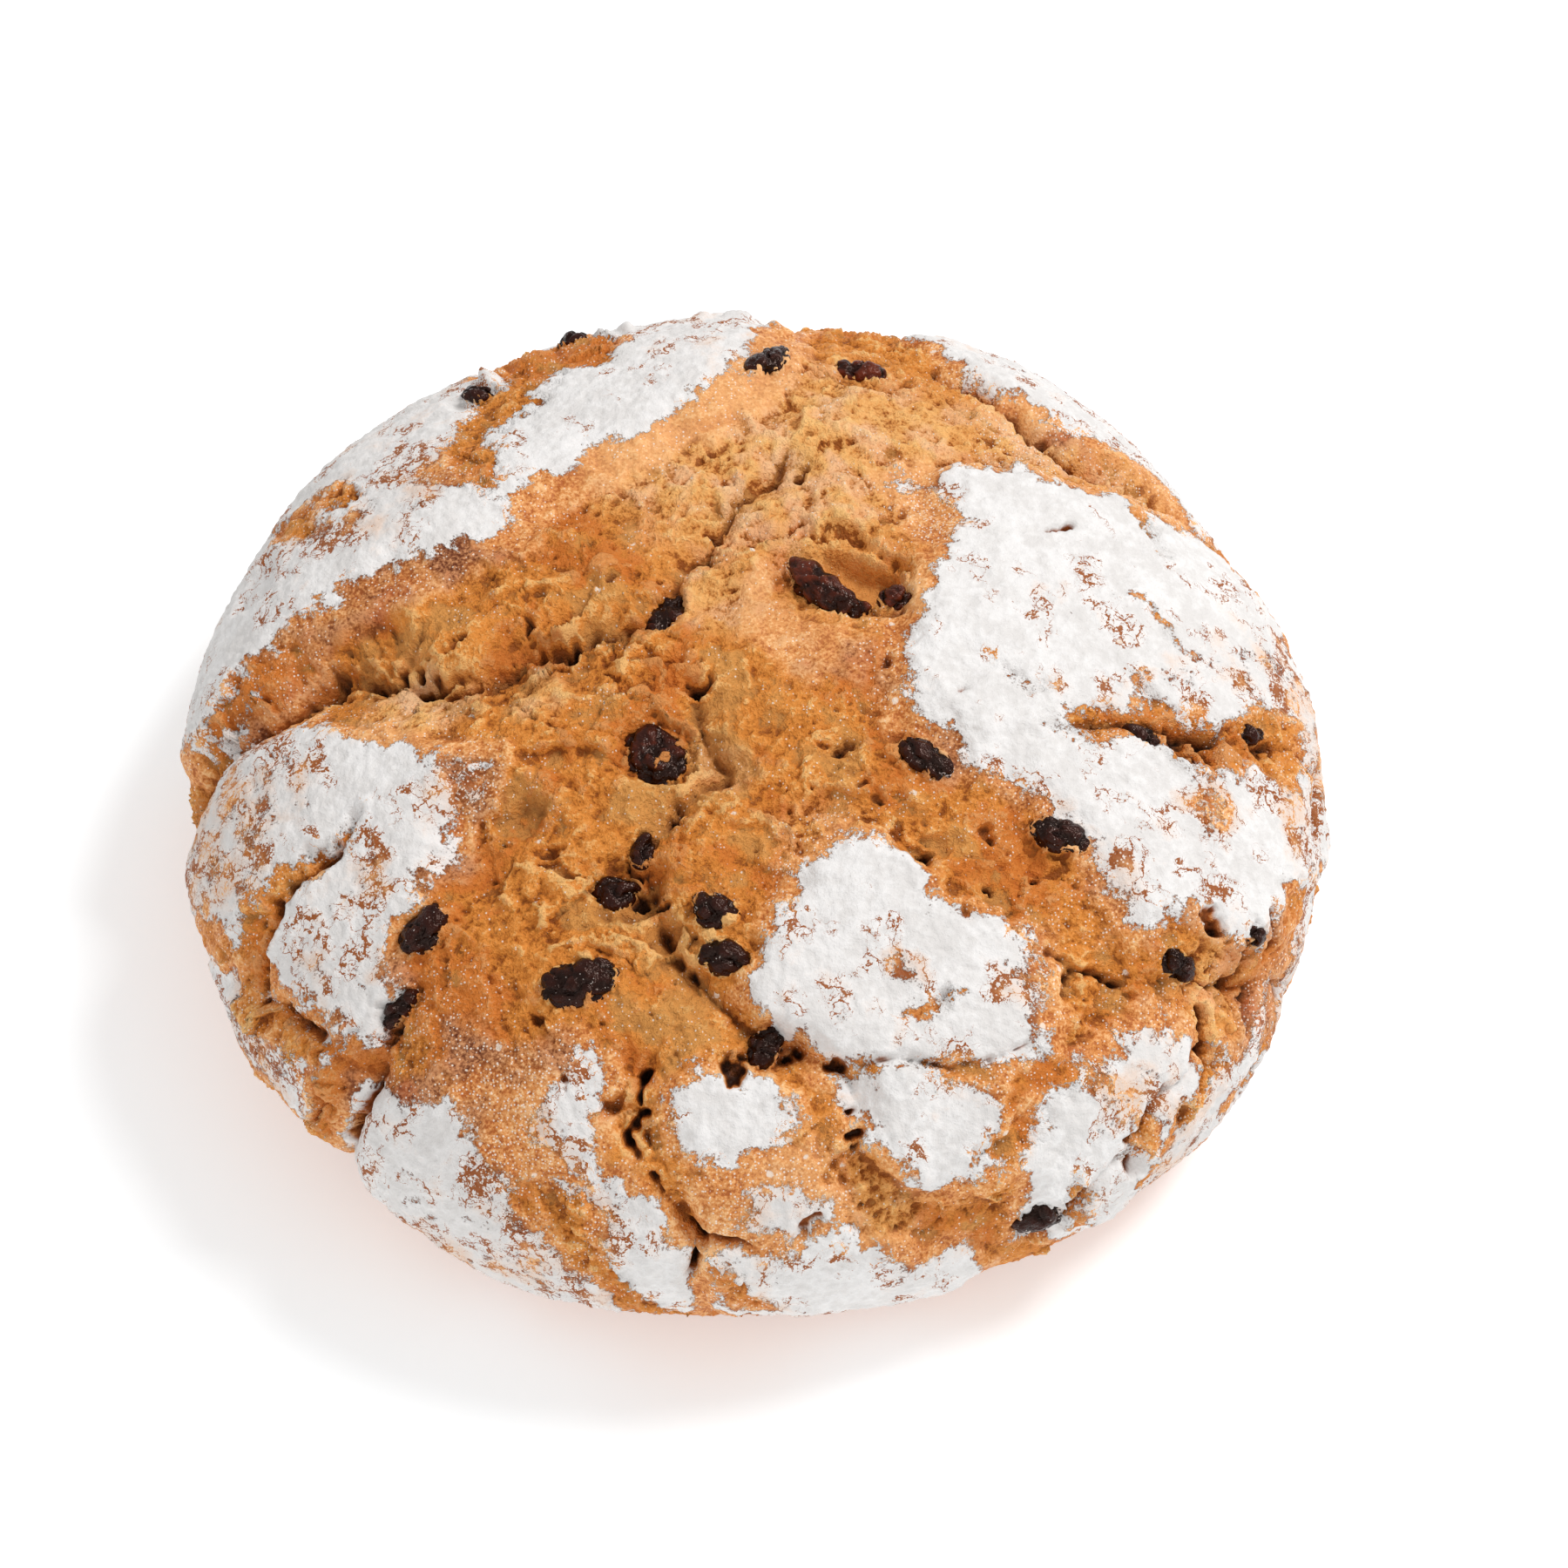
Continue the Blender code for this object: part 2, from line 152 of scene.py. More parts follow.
# -------- flour and skin on the crust
# Floured patches: (how far smooth skin reaches past the flour, outline)
FLOUR = [
    (8, [(-90, 1), (-98, 8), (-104, 34), (-86, 74), (-46, 98), (-12, 102), (2, 84), (0, 66), (-2, 59),
        (-13, 50), (-25, 42), (-35, 35), (-39, 27), (-54, 22), (-67, 18), (-76, 10), (-85, 0)]),
    (2, [(-88, -4), (-79, -1), (-66, -5), (-56, -11), (-39, -17), (-41, -22), (-46, -30), (-53, -40),
        (-53, -48), (-57, -55), (-64, -52), (-76, -41), (-86, -31), (-98, -24), (-100, -10)]),
    (2, [(-96, -34), (-83, -39), (-77, -44), (-73, -52), (-63, -54), (-67, -57), (-72, -58), (-76, -66),
        (-89, -57), (-97, -43)]),
    (3, [(-63, -64), (-60, -63), (-50, -67), (-45, -65), (-41, -73), (-34, -77), (-27, -79), (-20, -80),
        (-14, -86), (-10, -94), (-11, -106), (-30, -112), (-54, -104), (-72, -88), (-72, -74)]),
    (3, [(-27, -61), (-22, -62), (-22, -68), (-23, -79), (-27, -78), (-31, -75), (-35, -70), (-30, -66)]),
    (2, [(-10, -66), (-2, -66.5), (4, -69), (7, -73), (6, -76), (0, -78), (-10, -78), (-12, -75)]),
    (3, [(-1, -82), (3, -81), (8, -82.5), (13, -85), (12, -88.5), (5, -89.5), (-3, -87)]),
    (3, [(-6, -92), (4, -92), (13, -89), (21, -93), (37, -93), (45, -104), (31, -114), (6, -114),
        (-6, -104)]),
    (2.5, [(12, -30), (17, -29), (22, -34), (30, -42), (37, -42), (42, -44), (43, -59), (36, -64),
        (38, -76), (33, -80), (24, -80), (17, -73), (11, -65), (5, -60), (1, -53), (2, -48), (3, -43)]),
    (3, [(41, -75), (43, -69), (44, -65), (48, -59), (54, -57), (58, -53), (62, -52), (66, -53.5),
        (69, -57), (74, -54), (78, -54), (80, -49), (84, -41), (87, -41), (84, -52), (84, -62), (86, -66),
        (80, -82), (64, -92), (46, -90)]),
    (3, [(88, -22), (96, -12), (104, -36), (100, -62), (88, -74), (84, -63), (89, -44)]),
    (2.5, [(33, 38.5), (40, 39.5), (46, 39), (53, 37), (66, 37), (79, 31), (90, 19), (96, 8), (96, -12),
        (88, -24), (81, -26), (79, -34), (72, -36), (69, -37), (64, -34.5), (60, -36), (58, -39),
        (53, -38), (49, -31), (45, -24), (37, -20), (31, -16), (27, -12), (22, -7), (24, 3), (29, 15),
        (31, 24), (31, 30), (28, 33), (23, 34), (21, 36.5), (22, 38.5), (27, 37)]),
    (3, [(27, 79), (33, 71), (39, 62), (44, 60), (50, 56), (60, 56), (70, 51), (79, 44), (89, 32),
        (98, 30), (100, 46), (78, 68), (48, 90), (30, 90)]),
    (3, [(30, 106), (70, 90), (98, 60), (112, 62), (80, 106), (34, 124)]),
    (3, [(-114, 12), (-117, 44), (-86, 90), (-48, 114), (-42, 107), (-80, 82), (-108, 42)]),
    (3, [(-10, 110), (12, 106), (16, 124), (-14, 126)]),
]

# Places inside the patches where the flour and skin are torn away
TORN = [
    [(56.4, -0.4), (58.4, -2), (60.2, -4.2), (62, -7.4), (60.2, -6.8), (58.2, -4.4), (56.8, -2.4)],
    [(34, 0.4), (36, -1), (38.4, -2.4), (41, -2.6), (43.6, -2), (41, -3.8), (38, -4), (35.2, -2)],
    [(57.6, 14.6), (60, 13.6), (62.2, 11.8), (64.4, 8), (62.4, 9.4), (60.4, 11.8), (58.4, 13.2)],
    [(-70, 7), (-78, 4), (-86, -2), (-96, -12), (-99, -8), (-90, 2), (-80, 9), (-73, 12)],
    [(-50, 72), (-47, 68), (-41, 67), (-40, 62), (-45, 60), (-46, 49), (-49, 44), (-41, 32), (-39, 33),
     (-39, 41), (-40, 48), (-36, 51), (-32, 61), (-23, 63), (-21, 72), (-32, 82)],
    [(-81, 44), (-73, 44), (-69, 42), (-69, 35), (-75, 34)],
    [(-68, 41), (-65, 43), (-60, 39), (-62, 34), (-66, 36)],
    [(-57, -22), (-61, -27), (-66, -31), (-70, -33), (-73, -37), (-76, -41), (-78, -45), (-83, -45),
     (-80, -36), (-77, -31), (-72, -28), (-66, -27), (-61, -24)],
    [(-84, -45), (-77, -45), (-73, -49), (-69, -51), (-64, -53), (-60, -55), (-58, -60), (-66, -57),
     (-72, -56), (-80, -50)],
    [(41, -9.5), (46, -8), (48, -5.5), (57, -4), (64, -4.5), (68, -5), (72, -2.5), (77, 1), (85, 2),
     (87, -8), (80, -10), (76, -9), (70, -12), (62, -12), (56, -10.5), (50, -10.5), (46, -10.5)],
    [(42, -59), (49, -60), (49, -64), (44, -65), (40, -68), (36, -68), (38, -64)],
    [(45, -66), (43, -70), (38, -75), (35, -78), (35, -74), (40, -69)],
    [(-36, -80), (-27, -81), (-23, -89), (-19, -97), (-15, -107), (-20, -108), (-25, -100), (-29, -93),
     (-33, -86)],
    [(-7, -95), (-3, -96), (1, -101), (3, -105), (-1, -103), (-5, -99)],
    [(22, -57), (25, -55), (31, -53), (29, -55)],
    [(13, -64.4), (30, -62.6), (36, -61.6), (42, -57.6), (42, -58.8), (36, -62.8), (30, -63.8),
     (13, -65.8)],
    [(58, -67), (62, -66), (63, -70), (64, -73), (61, -74)],
    [(69, -50), (71, -55), (70, -59), (67, -63), (67, -68), (65, -77), (67, -78), (70, -67), (72, -62),
     (75, -56), (73, -50)],
    [(58, 37), (61, 36), (64.5, 33), (64, 28), (62.5, 28), (61, 32)],
    [(84, -24), (89, -36), (88, -46), (86, -54), (82, -63), (84, -64), (90, -54), (92, -42), (91, -32),
     (88, -24)],
    [(50, -76), (55, -80), (58, -86), (56, -87), (51, -82)],
]

# Smooth brown skin with no flour on it
BARE_SKIN = [
    [(-72, -4), (-66, -4), (-50, -10), (-38, -12), (-36, -18), (-40, -26), (-44, -34), (-49, -34),
     (-50, -18), (-66, -8)],
    [(-46, -55), (-38, -57), (-31, -60), (-27, -63), (-29, -76), (-40, -78), (-46, -68)],
    [(-10, -78), (10, -76), (12, -88), (2, -92), (-8, -86)],
    [(22, 41), (34, 40), (32, 20), (26, 4), (24, -8), (34, -18), (28, -20), (18, -10), (17, 2), (22, 12),
     (25, 22), (20, 32)],
    [(-1, 20), (4, 10), (12, 7), (18, 6), (16, -4), (4, -3), (-2, 6)],
    [(84, -30), (98, -20), (104, -40), (92, -62), (82, -56)],
]

# Where the flour is worn off: (x, y, radius, strength)
WORN = [
    (-48, 38, 8, 0.9), (-60, 29, 7, 0.5), (-70, 39, 9, 0.5), (-75, -13, 7, 0.6), (-66, -16, 6, 0.4),
    (-85, -23, 12, 0.6), (-57, -32, 7, 0.4), (-43, -21, 5, 0.7), (-49, -44, 6, 0.5), (-55, -44, 5, 0.4),
    (-34, -74, 9, 1), (-36, -90, 16, 0.75), (-22, -97, 10, 0.4), (-24, -86, 5, 0.6), (2, -85, 8, 0.5),
    (26, 28, 9, 0.9), (74, -76, 12, 0.5), (96, -40, 14, 0.6), (56, -29, 9, 0.6), (44, 14, 5, 0.4),
    (67, -19, 6, 1.2), (19, -69, 4, 0.3), (27, 36, 5, 0.7), (80, 11, 6, 0.6), (88, 8, 6, 0.8),
    (-92, -18, 12, 0.5), (24, -49, 4, 0.9), (38, -50, 7, 0.5), (28, -67, 8, 0.35), (60, -58, 7, 0.4),
    (64, -68, 6, 0.5), (54, -65, 6, 0.8), (78, -62, 9, 0.4), (-28, -70, 6, 0.5), (-84, -50, 14, 0.6),
    (10, -100, 16, 0.35), (28, -98, 10, 0.4), (92, 0, 9, 0.7), (-84, -14, 12, 0.6), (-78, -22, 8, 0.5),
    (-62, -44, 8, 0.35), (-66, -42, 4, 0.5), (58, 4, 10, 0.25), (74, 8, 10, 0.3), (82, 14, 8, 0.4),
    (44, -16, 6, 0.3), (70, -28, 6, 0.3), (84, -14, 8, 0.5), (36, -66, 8, 0.6), (58, -78, 8, 0.5),
    (64, 44, 10, 1.1), (0, 114, 20, 0.5), (80, 80, 24, 0.5), (-92, 66, 26, 0.5), (40, -104, 10, 0.5),
    (-56, -90, 10, 0.6),
]

# Where loose flour lies thick: (x, y, radius, strength)
DUSTY = [
    (-44, -57, 12, 1.1), (-36, -67, 11, 1.5), (-30, -72, 8, 1), (-56, -13, 8, 0.4), (-44, -14, 8, 0.4),
    (-42, -21, 6, 0.9), (26, -8, 7, 0.5), (30, -22, 9, 0.3), (46, -40, 8, 0.4), (80, -46, 7, 0.6),
    (6, -83, 12, 0.8), (28, 29, 7, 2.6), (44, 47, 10, 1.9), (62, 43, 8, 0.9), (8, -34, 8, 0.8),
    (22, -6, 6, 0.6), (-50, 20, 10, 0.4), (-36, 28, 8, 0.4), (-70, 12, 8, 0.4), (-22, -88, 10, 0.4),
    (70, -60, 8, 0.5), (-40, -44, 8, 0.2),
]

# Where the flour is whole: (x, y, radius, strength)
CLEAN = [
    (42, 26, 17, 0.7), (34, 4, 11, 0.7), (62, 26, 14, 0.6), (50, 8, 12, 0.4), (60, -30, 9, 0.6),
    (74, -26, 8, 0.6), (40, -12, 9, 0.5), (54, -20, 8, 0.5), (-56, -17, 9, 0.7), (-30, 52, 18, 0.6),
    (-44, 27, 8, 0.6), (-62, 22, 8, 0.5), (-60, -38, 8, 0.2), (-84, 20, 12, 0.4), (16, -40, 11, 0.6),
    (30, -46, 9, 0.6), (34, -58, 7, 0.5), (-3, -72, 8, 0.7), (48, -70, 7, 0.5), (-26, -70, 5, 0.4),
    (14, -98, 12, 0.7), (24, -69, 9, 0.5), (30, -72, 8, 0.5), (-16, -96, 7, 0.5), (-42, -86, 10, 0.3),
    (54, -76, 12, 0.5), (34, -100, 9, 0.4),
]

# Where the crust is lighter, partly crumb that stayed paler and partly painted light where the loaf is lit
# more: (x, y, radius, strength)
PALER_AND_LIT = [
    (4, 42, 28, 1), (-14, 40, 14, 1), (24, 48, 14, 1), (-4, 12, 8, 0.9), (6, 8, 10, 0.3),
    (-50, -3, 9, 1.3), (72, -44, 8, 0.6), (44, 50, 12, 1), (64, 45, 12, 0.8), (8, -83, 10, 0.6),
    (20, -86, 9, 0.6), (84, -44, 8, 0.3), (10, -30, 8, 0.4), (-31.5, -3.5, 5, 0.7), (-5, -17, 5, 0.4),
    (25, 12, 4, 0.8),
]

# Where the crust is baked darker: (x, y, radius, strength)
BROWNED = [
    (-44, -53, 14, 1.1), (-56, -60, 13, 1), (-32, -59, 9, 0.6), (-44, -70, 9, 0.5), (8, -82, 10, 0.2),
    (-40, -20, 6, 0.6), (-46, -32, 6, 0.6), (86, -46, 14, 0.5), (30, -16, 8, 0.6), (46, -38, 10, 0.5),
    (64, -40, 10, 0.4), (-60, 8, 10, 0.8), (-36, 16, 9, 0.6), (-24, 13, 7, 0.5), (15, -2, 9, 0.5),
    (58, -46, 8, 0.4), (79, -45, 6, 0.6), (73, -40, 4, 0.5), (80, -33, 4, 0.6), (50, 51, 6, 0.9),
    (64, 44, 6, 0.6), (78, 36, 8, 0.6), (38, -26, 8, 0.5), (-84, 1, 6, 1), (-90, -5, 5, 1),
    (-76, 8, 6, 0.8), (-37, -60, 8, 0.7), (-56, 19, 9, 0.6), (-70, 10, 10, 0.5), (-45, 22, 6, 1),
    (-32, -22, 5, 0.6),
]

# Tufts of crumb and flour that stand up on the skyline: (x, y, radius, height)
TUFTS = [
    (-43, 64, 2.6, 1.8), (-41, 68, 2.4, 1.2), (-36, 70, 3.2, 1.2), (-31, 74, 3.4, 0.8), (-26, 76, 4, 0.9),
    (-21, 77, 2.6, 1.2), (-9, 79, 3.4, 0.9), (-2, 78, 2.8, 1), (4, 75, 3.4, 1.2), (12, 76, 2.6, 1),
]

# Torn ledges: (height, how far back it fades, points); the crust stands up on the left of the way
LEDGES = [
    (1.2, 6, [(4, 24), (8, 26), (14, 27), (19, 23), (23, 18), (25, 12), (23, 8)]),
    (1.1, 5, [(-38, -17), (-35, -14), (-28, -13), (-20, -15), (-14, -20)]),
    (1, 4, [(-40, -26), (-37, -21), (-31, -22), (-29, -27)]),
    (1.2, 6, [(-42, 12), (-34, 14), (-26, 17), (-20, 13)]),
    (1, 4, [(-66, 9), (-58, 13), (-52, 9)]),
    (1, 5, [(4, 40), (10, 44), (18, 42), (24, 44)]),
    (1, 5, [(-12, 46), (-4, 50), (4, 46)]),
    (1, 5, [(6, -28), (12, -22), (20, -22), (28, -25)]),
    (0.9, 4, [(-10, -30), (-6, -26), (2, -28), (6, -34)]),
    (0.9, 4, [(46, -50), (54, -47), (62, -50)]),
    (0.9, 4, [(-30, -47), (-24, -45), (-18, -47)]),
    (0.9, 4, [(10, -80), (18, -78), (26, -82)]),
]

# Small dark holes: (x, y, radius, depth)
HOLES = [
    (-7.2, -3.4, 1.8, 3.6), (-16.4, -29.6, 1.4, 3.6), (-17, -32.6, 1.1, 3.2), (-20.4, -36.2, 2, 4.4),
    (-17.6, -37.2, 1.6, 4), (-13, -38, 0.9, 2.6), (-6, 26, 1.2, 2.4), (-75, -36.6, 2, 3.8),
    (-76.6, -40, 1.3, 2.8), (-77.6, -46, 1.1, 2.4), (58, -8, 1.5, 3.4), (61.4, -9.6, 1, 2.8),
    (-30, -55, 1, 1.8), (-28, -66, 0.9, 1.6), (11, -12.6, 0.8, 1.4), (17.5, -22, 1, 1.8),
    (30.6, -5, 0.8, 1.2), (19.6, -1, 0.9, 1.4), (-36, -28, 0.8, 1.2), (-7, 21, 1.2, 2.6),
    (-27, 5.5, 2, 3.2), (-32, 4, 1.4, 2.4), (-22, 7.5, 1, 1.8), (7, 37, 1.3, 2.4), (-5, 35, 1.3, 2.4),
    (31, -41, 1.6, 1.2), (35.6, -36, 1, 2.2), (26.4, -33, 1.2, 2), (15.4, -71, 1, 2.2),
    (17.4, -75.2, 1.4, 3.2), (18, -77.4, 0.9, 2.2), (-30, -29, 1.3, 1.4), (12, -64, 1.6, 2.6),
    (9, -87, 1.2, 1.6), (59, -71, 1.6, 3), (61, -75, 1.2, 2.4), (46, -47.8, 1, 1.8), (-44, 7, 1.3, 1.6),
    (-35, 8, 1.5, 2), (-66, 5, 1.6, 2), (-55, 3, 1.8, 2.4), (77, -4.6, 1.5, 2.8), (80, -4.8, 1, 2.4),
    (63, -8.8, 2.8, 3.2), (67.5, -8.4, 1.6, 2.4), (14, -14.4, 1.4, 2), (26, -31.6, 1.3, 2.6),
    (16, -20, 0.8, 1.6), (41, -33, 1, 1.8), (33, -27, 0.9, 1.6), (47, 54, 1.6, 2.6), (51, 49, 1.4, 2.6),
    (61, 43.5, 1.2, 2.2), (74.6, -42.5, 1, 2.4), (80, -44, 1.3, 2.6), (67, -36, 1.6, 2.4),
    (-2.6, -64.6, 2, 3.8), (5.2, -63.8, 1.6, 3.2), (68, -36.5, 1.1, 2.8), (70.4, -38.2, 1, 2.8),
    (75, -36, 1, 2.6), (-50, 4, 1.4, 2.4), (-46, 2.6, 1.2, 2.4), (-22, 16, 1.2, 1.6),
]

# Smooth shell-like hollows, where the crumb parted along a bubble: (x, y, radius, depth)
SHELLS = [
    (-4.5, -9, 4.6, 1.4), (-4.5, -17, 4.8, 1.1), (-5, 11, 5, 1.2), (14, -14.5, 3.6, 1.3),
    (-34, -23, 4.5, 1.5), (-30, -16, 4, 1.2), (2, -10, 3.5, 1.2), (10, -24, 4, 1.1), (-26, 0, 4.5, 1),
    (-12, -44, 3.6, 1.4), (-2, -32, 3.6, 1.2), (-22, -25, 5, 0.9), (-44, 14, 6, 1.4), (-30, 20, 5, 1.3),
    (-56, 10, 5, 1.4), (-20, 24, 6, 0.9), (8, 36, 5, 0.9), (20, 48, 5, 0.8), (4, 50, 4, 0.8),
    (-12, 44, 4, 0.6), (30, -2, 5, 0.9), (38, -14, 5, 1), (54, -44, 5, 1.3), (76, -44, 5, 1.3),
    (-36, -52, 4, 1), (-62, -2, 5, 1), (-44, -10, 5, 0.8),
]

# Pale yellow crumb, which the oven didn't brown: (x, y, radius)
PALE = [
    (-5, -8, 6), (-5, -15, 6), (-6, -21, 5), (-14, -23, 6), (-19, -40, 7), (-13, -45, 7), (-33, -4, 5),
    (14, -15, 5), (-34, -22, 5), (-2, 31, 5), (-24, -40, 5), (0, -30, 4), (6, 41, 5), (-24, 12, 6),
    (-58, 4, 6), (27, -30, 4.5), (35, -37, 4), (-10, -57, 8), (12, -66, 5), (46, -47, 4), (12, 52, 5),
    (-50, 8, 7), (-4, -3, 5),
]

# Bits of crumb stuck on raisins, and flour on raisins: (x, y, radius)
STUCK_CRUMB = [
    (-12.5, -8.4, 2.4), (-14.8, -8.6, 1.2), (-10.6, -10.4, 1.6), (-10.4, -13, 0.9), (-13, -15.4, 1.2),
    (-17.8, -13.2, 0.9), (-3, -43.6, 1.2), (-24, -53.5, 1.2), (-15.6, -33.4, 1.4),
]
DUSTED_RAISINS = [
    (-6, -39.2, 2.6), (-3.2, -43.4, 1.4), (28.8, -19.4, 2.4), (47.4, -29.4, 2), (24, -13.6, 1.2),
    (0, 57.6, 2.4), (-49.5, -43.5, 1.6), (52, -84, 2), (46.5, -88.5, 1.6), (9.6, 17.4, 0.8),
]

# How much redder than black some raisins are
WARM_RAISINS = {"raisin_06": 0.6, "raisin_07": 0.5, "raisin_04": 0.7, "raisin_08": 0.3, "raisin_05": 0.3}

# -------- noise
STRAND = np.array([0.45, 0.9, 0.8])      # stretches the torn strands, which lie mostly along X
WRINKLE = np.array([0.5, 1.1, 0.9])      # stretches the raisins' small wrinkles along X

SPIKES = np.random.default_rng(5).normal(size=(256, 3))
SPIKES = (SPIKES / np.linalg.norm(SPIKES, axis=1)[:, None]).T.copy()
JITTER = np.random.default_rng(6).random((1024, 8)).T.copy()


def hashed(cell, step, seed):
    """A repeatable random whole number for each grid cell that lies a step away from the given ones."""
    x, y, z = (part + move for part, move in zip(cell, step))
    value = x * 73856093 ^ y * 19349663 ^ z * 83492791
    value = (value ^ seed * 668265263) & 0xFFFFFFFF
    for _ in range(2):
        value = ((value >> 16) ^ value) * 0x45D9F3B & 0xFFFFFFFF
    return (value >> 16) ^ value


def in_cells(places):
    """The grid cell that each place is in, and where in the cell it is."""
    cell = np.floor(places).astype(np.int64)
    return cell, places - cell


def noise(points, size, seed):
    """Smooth gradient noise between about -1 and 1, with features of the given size."""
    cell, part = in_cells(np.ascontiguousarray(points.T) / size + seed * 17.31)
    soft = part * part * part * (part * (part * 6 - 15) + 10)
    total = np.zeros(len(points))
    for corner in np.ndindex(2, 2, 2):
        pick = hashed(cell, corner, seed) & 255
        weight, rise = 1.0, 0.0
        for axis, step in enumerate(corner):
            weight = weight * (soft[axis] if step else 1 - soft[axis])
            rise = rise + (part[axis] - step) * SPIKES[axis][pick]
        total += weight * rise
    return total * 1.7


def layered(points, size, seed, count=4, fall=0.5):
    """Layers of noise, each half the size of the one before and lower by the given share."""
    return sum(fall ** step * noise(points, size / 2 ** step, seed + step) for step in range(count))


def noise_sum(points, layers):
    """The sum of noise layers, each (height, size, seed)."""
    return sum(height * noise(points, size, seed) for height, size, seed in layers)


def ridges(points, size, seed):
    """Sharp winding ridges, 0.25 high, with low ground between them."""
    return 0.25 - np.abs(noise(points, size, seed))


def nearest_seed(points, size, seed):
    """The way from the nearest scattered seed, in cells, its length, and the seed's row of JITTER."""
    cell, part = in_cells(np.ascontiguousarray(points.T) / size)
    nearest = np.full(len(points), 9.0)
    row = np.zeros(len(points), np.int64)
    way = np.zeros((3, len(points)))
    for corner in np.ndindex(3, 3, 3):
        step = np.array(corner) - 1
        pick = hashed(cell, step, seed) & 1023
        offset = part - step[:, None] - JITTER[:3, pick]
        distance = (offset * offset).sum(0)
        closer = distance < nearest
        nearest = np.where(closer, distance, nearest)
        row = np.where(closer, pick, row)
        way = np.where(closer, offset, way)
    return way, np.sqrt(nearest), row


def pebbles(points, size, seed):
    """Distance to the nearest of scattered seeds, in cells, and that seed's random number."""
    _, away, row = nearest_seed(points, size, seed)
    return away, JITTER[3][row]


def facets(points, size, seed):
    """Flat broken faces with sharp edges, each with a level and a tilt of its own, about -1 to 1."""
    way, _, row = nearest_seed(points, size, seed)
    return JITTER[3][row] - 0.5 + 2 * (way * (JITTER[4:7, row] - 0.5)).sum(0)


def lumps(points, size, seed):
    """Rounded lumps, 1 at the top of each, with creases near 0.2 between them."""
    away, kind = pebbles(points, size, seed)
    return (1 - np.clip(away, 0, 1) ** 2) * (0.75 + 0.25 * kind)


def wavy(points, reach, size, seed):
    """The points moved about by soft noise, so that what is cut from them is uneven."""
    moves = [noise(points, size, seed + 7 * axis) for axis in range(points.shape[1])]
    return points + reach * np.stack(moves, 1)


# -------- the loaf's form
def profile(steps=480):
    """The dome's side view: way along the crust, radius as a share of the widest, height."""
    upper = np.linspace(0.0, math.pi / 2, steps)
    lower = np.linspace(0.0, math.pi / 2, steps)[1:]
    share = np.concatenate([np.sin(upper) ** (2 / DOME), FOOT + (1 - FOOT) * np.cos(lower)])
    height = np.concatenate([WIDEST + (HEIGHT - WIDEST) * np.cos(upper) ** (2 / DOME),
                             WIDEST * (1 - np.sin(lower))])
    way = np.concatenate([[0.0], np.cumsum(np.hypot(np.diff(share * RADIUS), np.diff(height)))])
    return way, share, height


WAY, SHARE, RISE = profile()
EDGE = WAY[-1]
FAR = 16.0               # mm; outlines farther away than this don't matter
SKIN_FROM = 116          # mm along the crust, from where the loaf's side is all smooth skin
BROWNER = (90, 130)      # mm along the crust, between which it turns browner towards the base
FADE = (1, 12)           # mm from the base's rim, between which the relief sets in

PITTED = 0.86            # scattered seeds with a random number above this have a pit
PORED = 0.88             # and above this a pore


def plain_dome(chart):
    """Where chart places lie on the loaf without its relief."""
    way = np.hypot(chart[:, 0], chart[:, 1])
    angle = np.arctan2(chart[:, 1], chart[:, 0])
    radius = np.full(len(chart), RADIUS)
    for turns, (cosine, sine) in OUTLINE.items():
        radius += cosine * np.cos(turns * angle) + sine * np.sin(turns * angle)
    radius *= np.interp(way, WAY, SHARE)
    return np.stack([radius * np.cos(angle), radius * np.sin(angle), np.interp(way, WAY, RISE)], 1)


def dome_normal(chart, step=0.3):
    along_x = plain_dome(chart + [step, 0]) - plain_dome(chart - [step, 0])
    along_y = plain_dome(chart + [0, step]) - plain_dome(chart - [0, step])
    normal = np.cross(along_x, along_y)
    return normal / np.linalg.norm(normal, axis=1)[:, None]


def ease(low, high, value):
    """0 at low, 1 at high, smooth between; low may be the larger."""
    share = np.clip((value - low) / (high - low), 0.0, 1.0)
    return share * share * (3.0 - 2.0 * share)


def bell(distance, width):
    """1 at no distance, falling away softly over the width."""
    return np.exp(-(distance / width) ** 2)


def saw_teeth(value):
    """Rises evenly with the value and drops back over the last fifth of each whole step."""
    part = value - np.floor(value)
    return part - ease(0.8, 1.0, part) - 0.4


def to_line(points, chart, closed=False):
    """Distance to a bent line, the share of its length at the nearest place, and the side, left +1."""
    corners = np.array(points, float)
    ends = np.roll(corners, -1, axis=0) if closed else corners[1:]
    starts = corners if closed else corners[:-1]
    lengths = np.linalg.norm(ends - starts, axis=1)
    before = np.concatenate([[0.0], np.cumsum(lengths)])
    nearest = np.full(len(chart), np.inf)
    share = np.zeros(len(chart))
    side = np.zeros(len(chart))
    for start, end, length, done in zip(starts, ends, lengths, before):
        along, off = end - start, chart - start
        part = np.clip((off @ along) / length ** 2, 0.0, 1.0)
        distance = np.linalg.norm(off - part[:, None] * along, axis=1)
        closer = distance < nearest
        nearest = np.where(closer, distance, nearest)
        share = np.where(closer, (done + part * length) / before[-1], share)
        side = np.where(closer, np.sign(along[0] * off[:, 1] - along[1] * off[:, 0]), side)
    return nearest, share, side


def close_to(corners, chart, reach):
    """Which chart places lie within reach of the box round the corners."""
    corners = np.array(corners, float)
    return np.flatnonzero(((chart > corners.min(0) - reach) & (chart < corners.max(0) + reach)).all(1))


